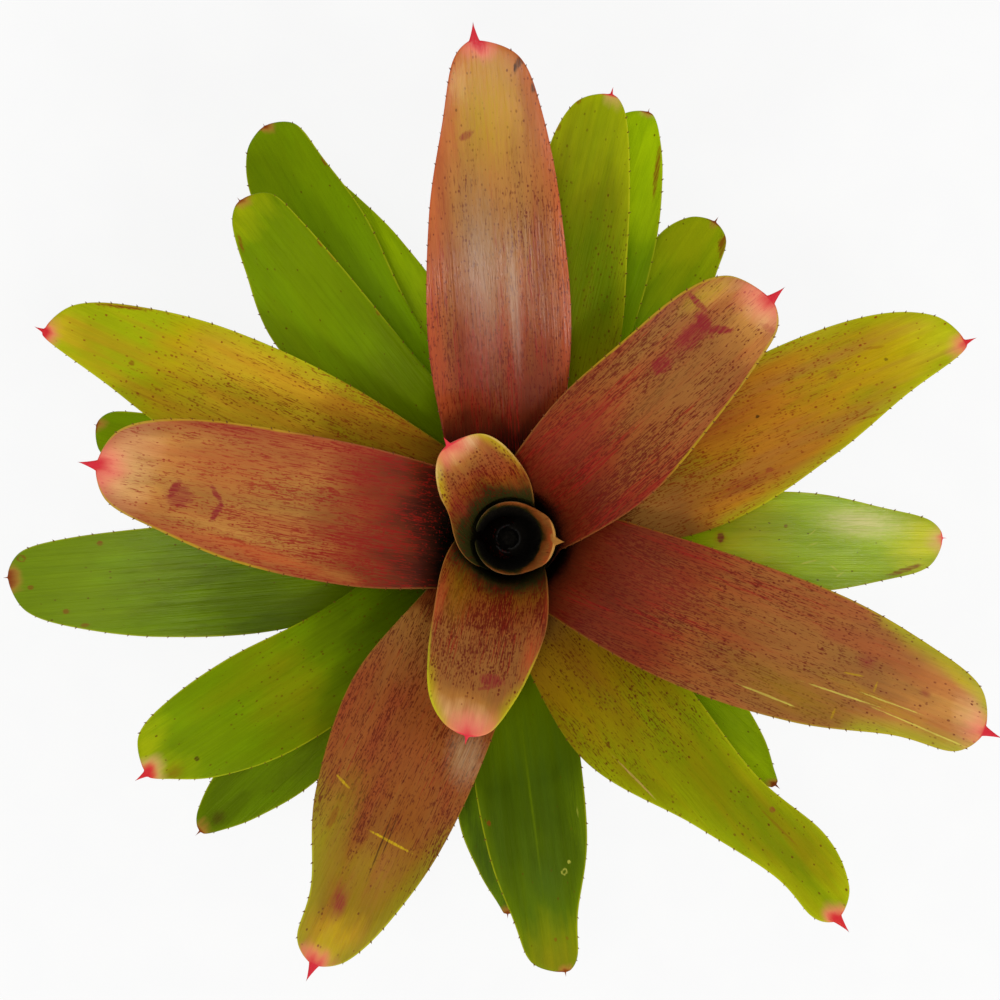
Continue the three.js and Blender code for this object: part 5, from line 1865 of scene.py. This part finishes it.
floor = add_piece("floor", pale_floor())
print("floor, m:", 2 * FLOOR_HALF)

# %% [markdown]
# ## The light
#
# An even white surround fills the shadows. One soft lamp overhead and one in front give the blades
# their long soft highlights, and a wide weak one at the side rounds them off. A rig of Area lamps
# is easier to steer than an image of a studio would be, and needs no file.

# %% Surround and lamps
SURROUND = 0.75
AIM = Vector((0, 0, 0.15))  # metres; about as high as the blades
LAMPS = {  # place, width and depth in metres, and radiance
    "overhead_lamp": ((-0.1, 0.0, 1.65), (0.22, 0.2), 20),
    "front_lamp": ((0.1, -0.84, 1.51), (0.26, 0.28), 26),
    "side_lamp": ((1.16, -0.31, 1.35), (1.1, 1.1), 0.75),
}
world = bpy.data.worlds.new("room")
bpy.context.scene.world = world
world.use_nodes = True
surround = world.node_tree.nodes["Background"].inputs
surround["Color"].default_value = (1, 1, 1, 1)
surround["Strength"].default_value = SURROUND


def soft_lamp(name, place, size, radiance):
    """A soft box, as wide and as deep as size says, aimed at the plant."""
    lamp = bpy.data.lights.new(name, "AREA")
    lamp.shape = "RECTANGLE"
    lamp.size, lamp.size_y = size
    lamp.energy = radiance * math.pi * size[0] * size[1]
    holder = bpy.data.objects.new(name, lamp)
    holder.location = place
    holder.rotation_mode = "QUATERNION"
    holder.rotation_quaternion = (AIM - Vector(place)).to_track_quat("-Z", "Y")
    bpy.context.scene.collection.objects.link(holder)


for name, (place, size, radiance) in LAMPS.items():
    soft_lamp(name, place, size, radiance)
print("lamps:", len(LAMPS))

# %% [markdown]
# ## The camera
#
# It looks straight down at the rosette through a fairly long lens, which keeps the inner leaves
# that rise towards it from looking swollen. A small shift sets the plant's axis where it belongs
# in the frame, and, unlike a turn of the camera, doesn't tilt the picture.

# %% Camera
AXIS_PX = (509, 538)  # where the plant's axis stands in the picture
PICTURE_PX = 1000
LENS_MM, SENSOR_MM = 85, 36
CAMERA_HEIGHT = 0.965  # metres
camera = bpy.data.cameras.new("camera")
camera.lens = LENS_MM
camera.sensor_width = SENSOR_MM
camera.shift_x = (PICTURE_PX / 2 - AXIS_PX[0]) / PICTURE_PX
camera.shift_y = (AXIS_PX[1] - PICTURE_PX / 2) / PICTURE_PX
camera.clip_start, camera.clip_end = 0.05, 20
viewer = bpy.data.objects.new("camera", camera)
viewer.location = (0, 0, CAMERA_HEIGHT)
bpy.context.scene.collection.objects.link(viewer)
bpy.context.scene.camera = viewer
bpy.context.scene.view_settings.view_transform = "Standard"
print("camera height, m:", viewer.location.z)
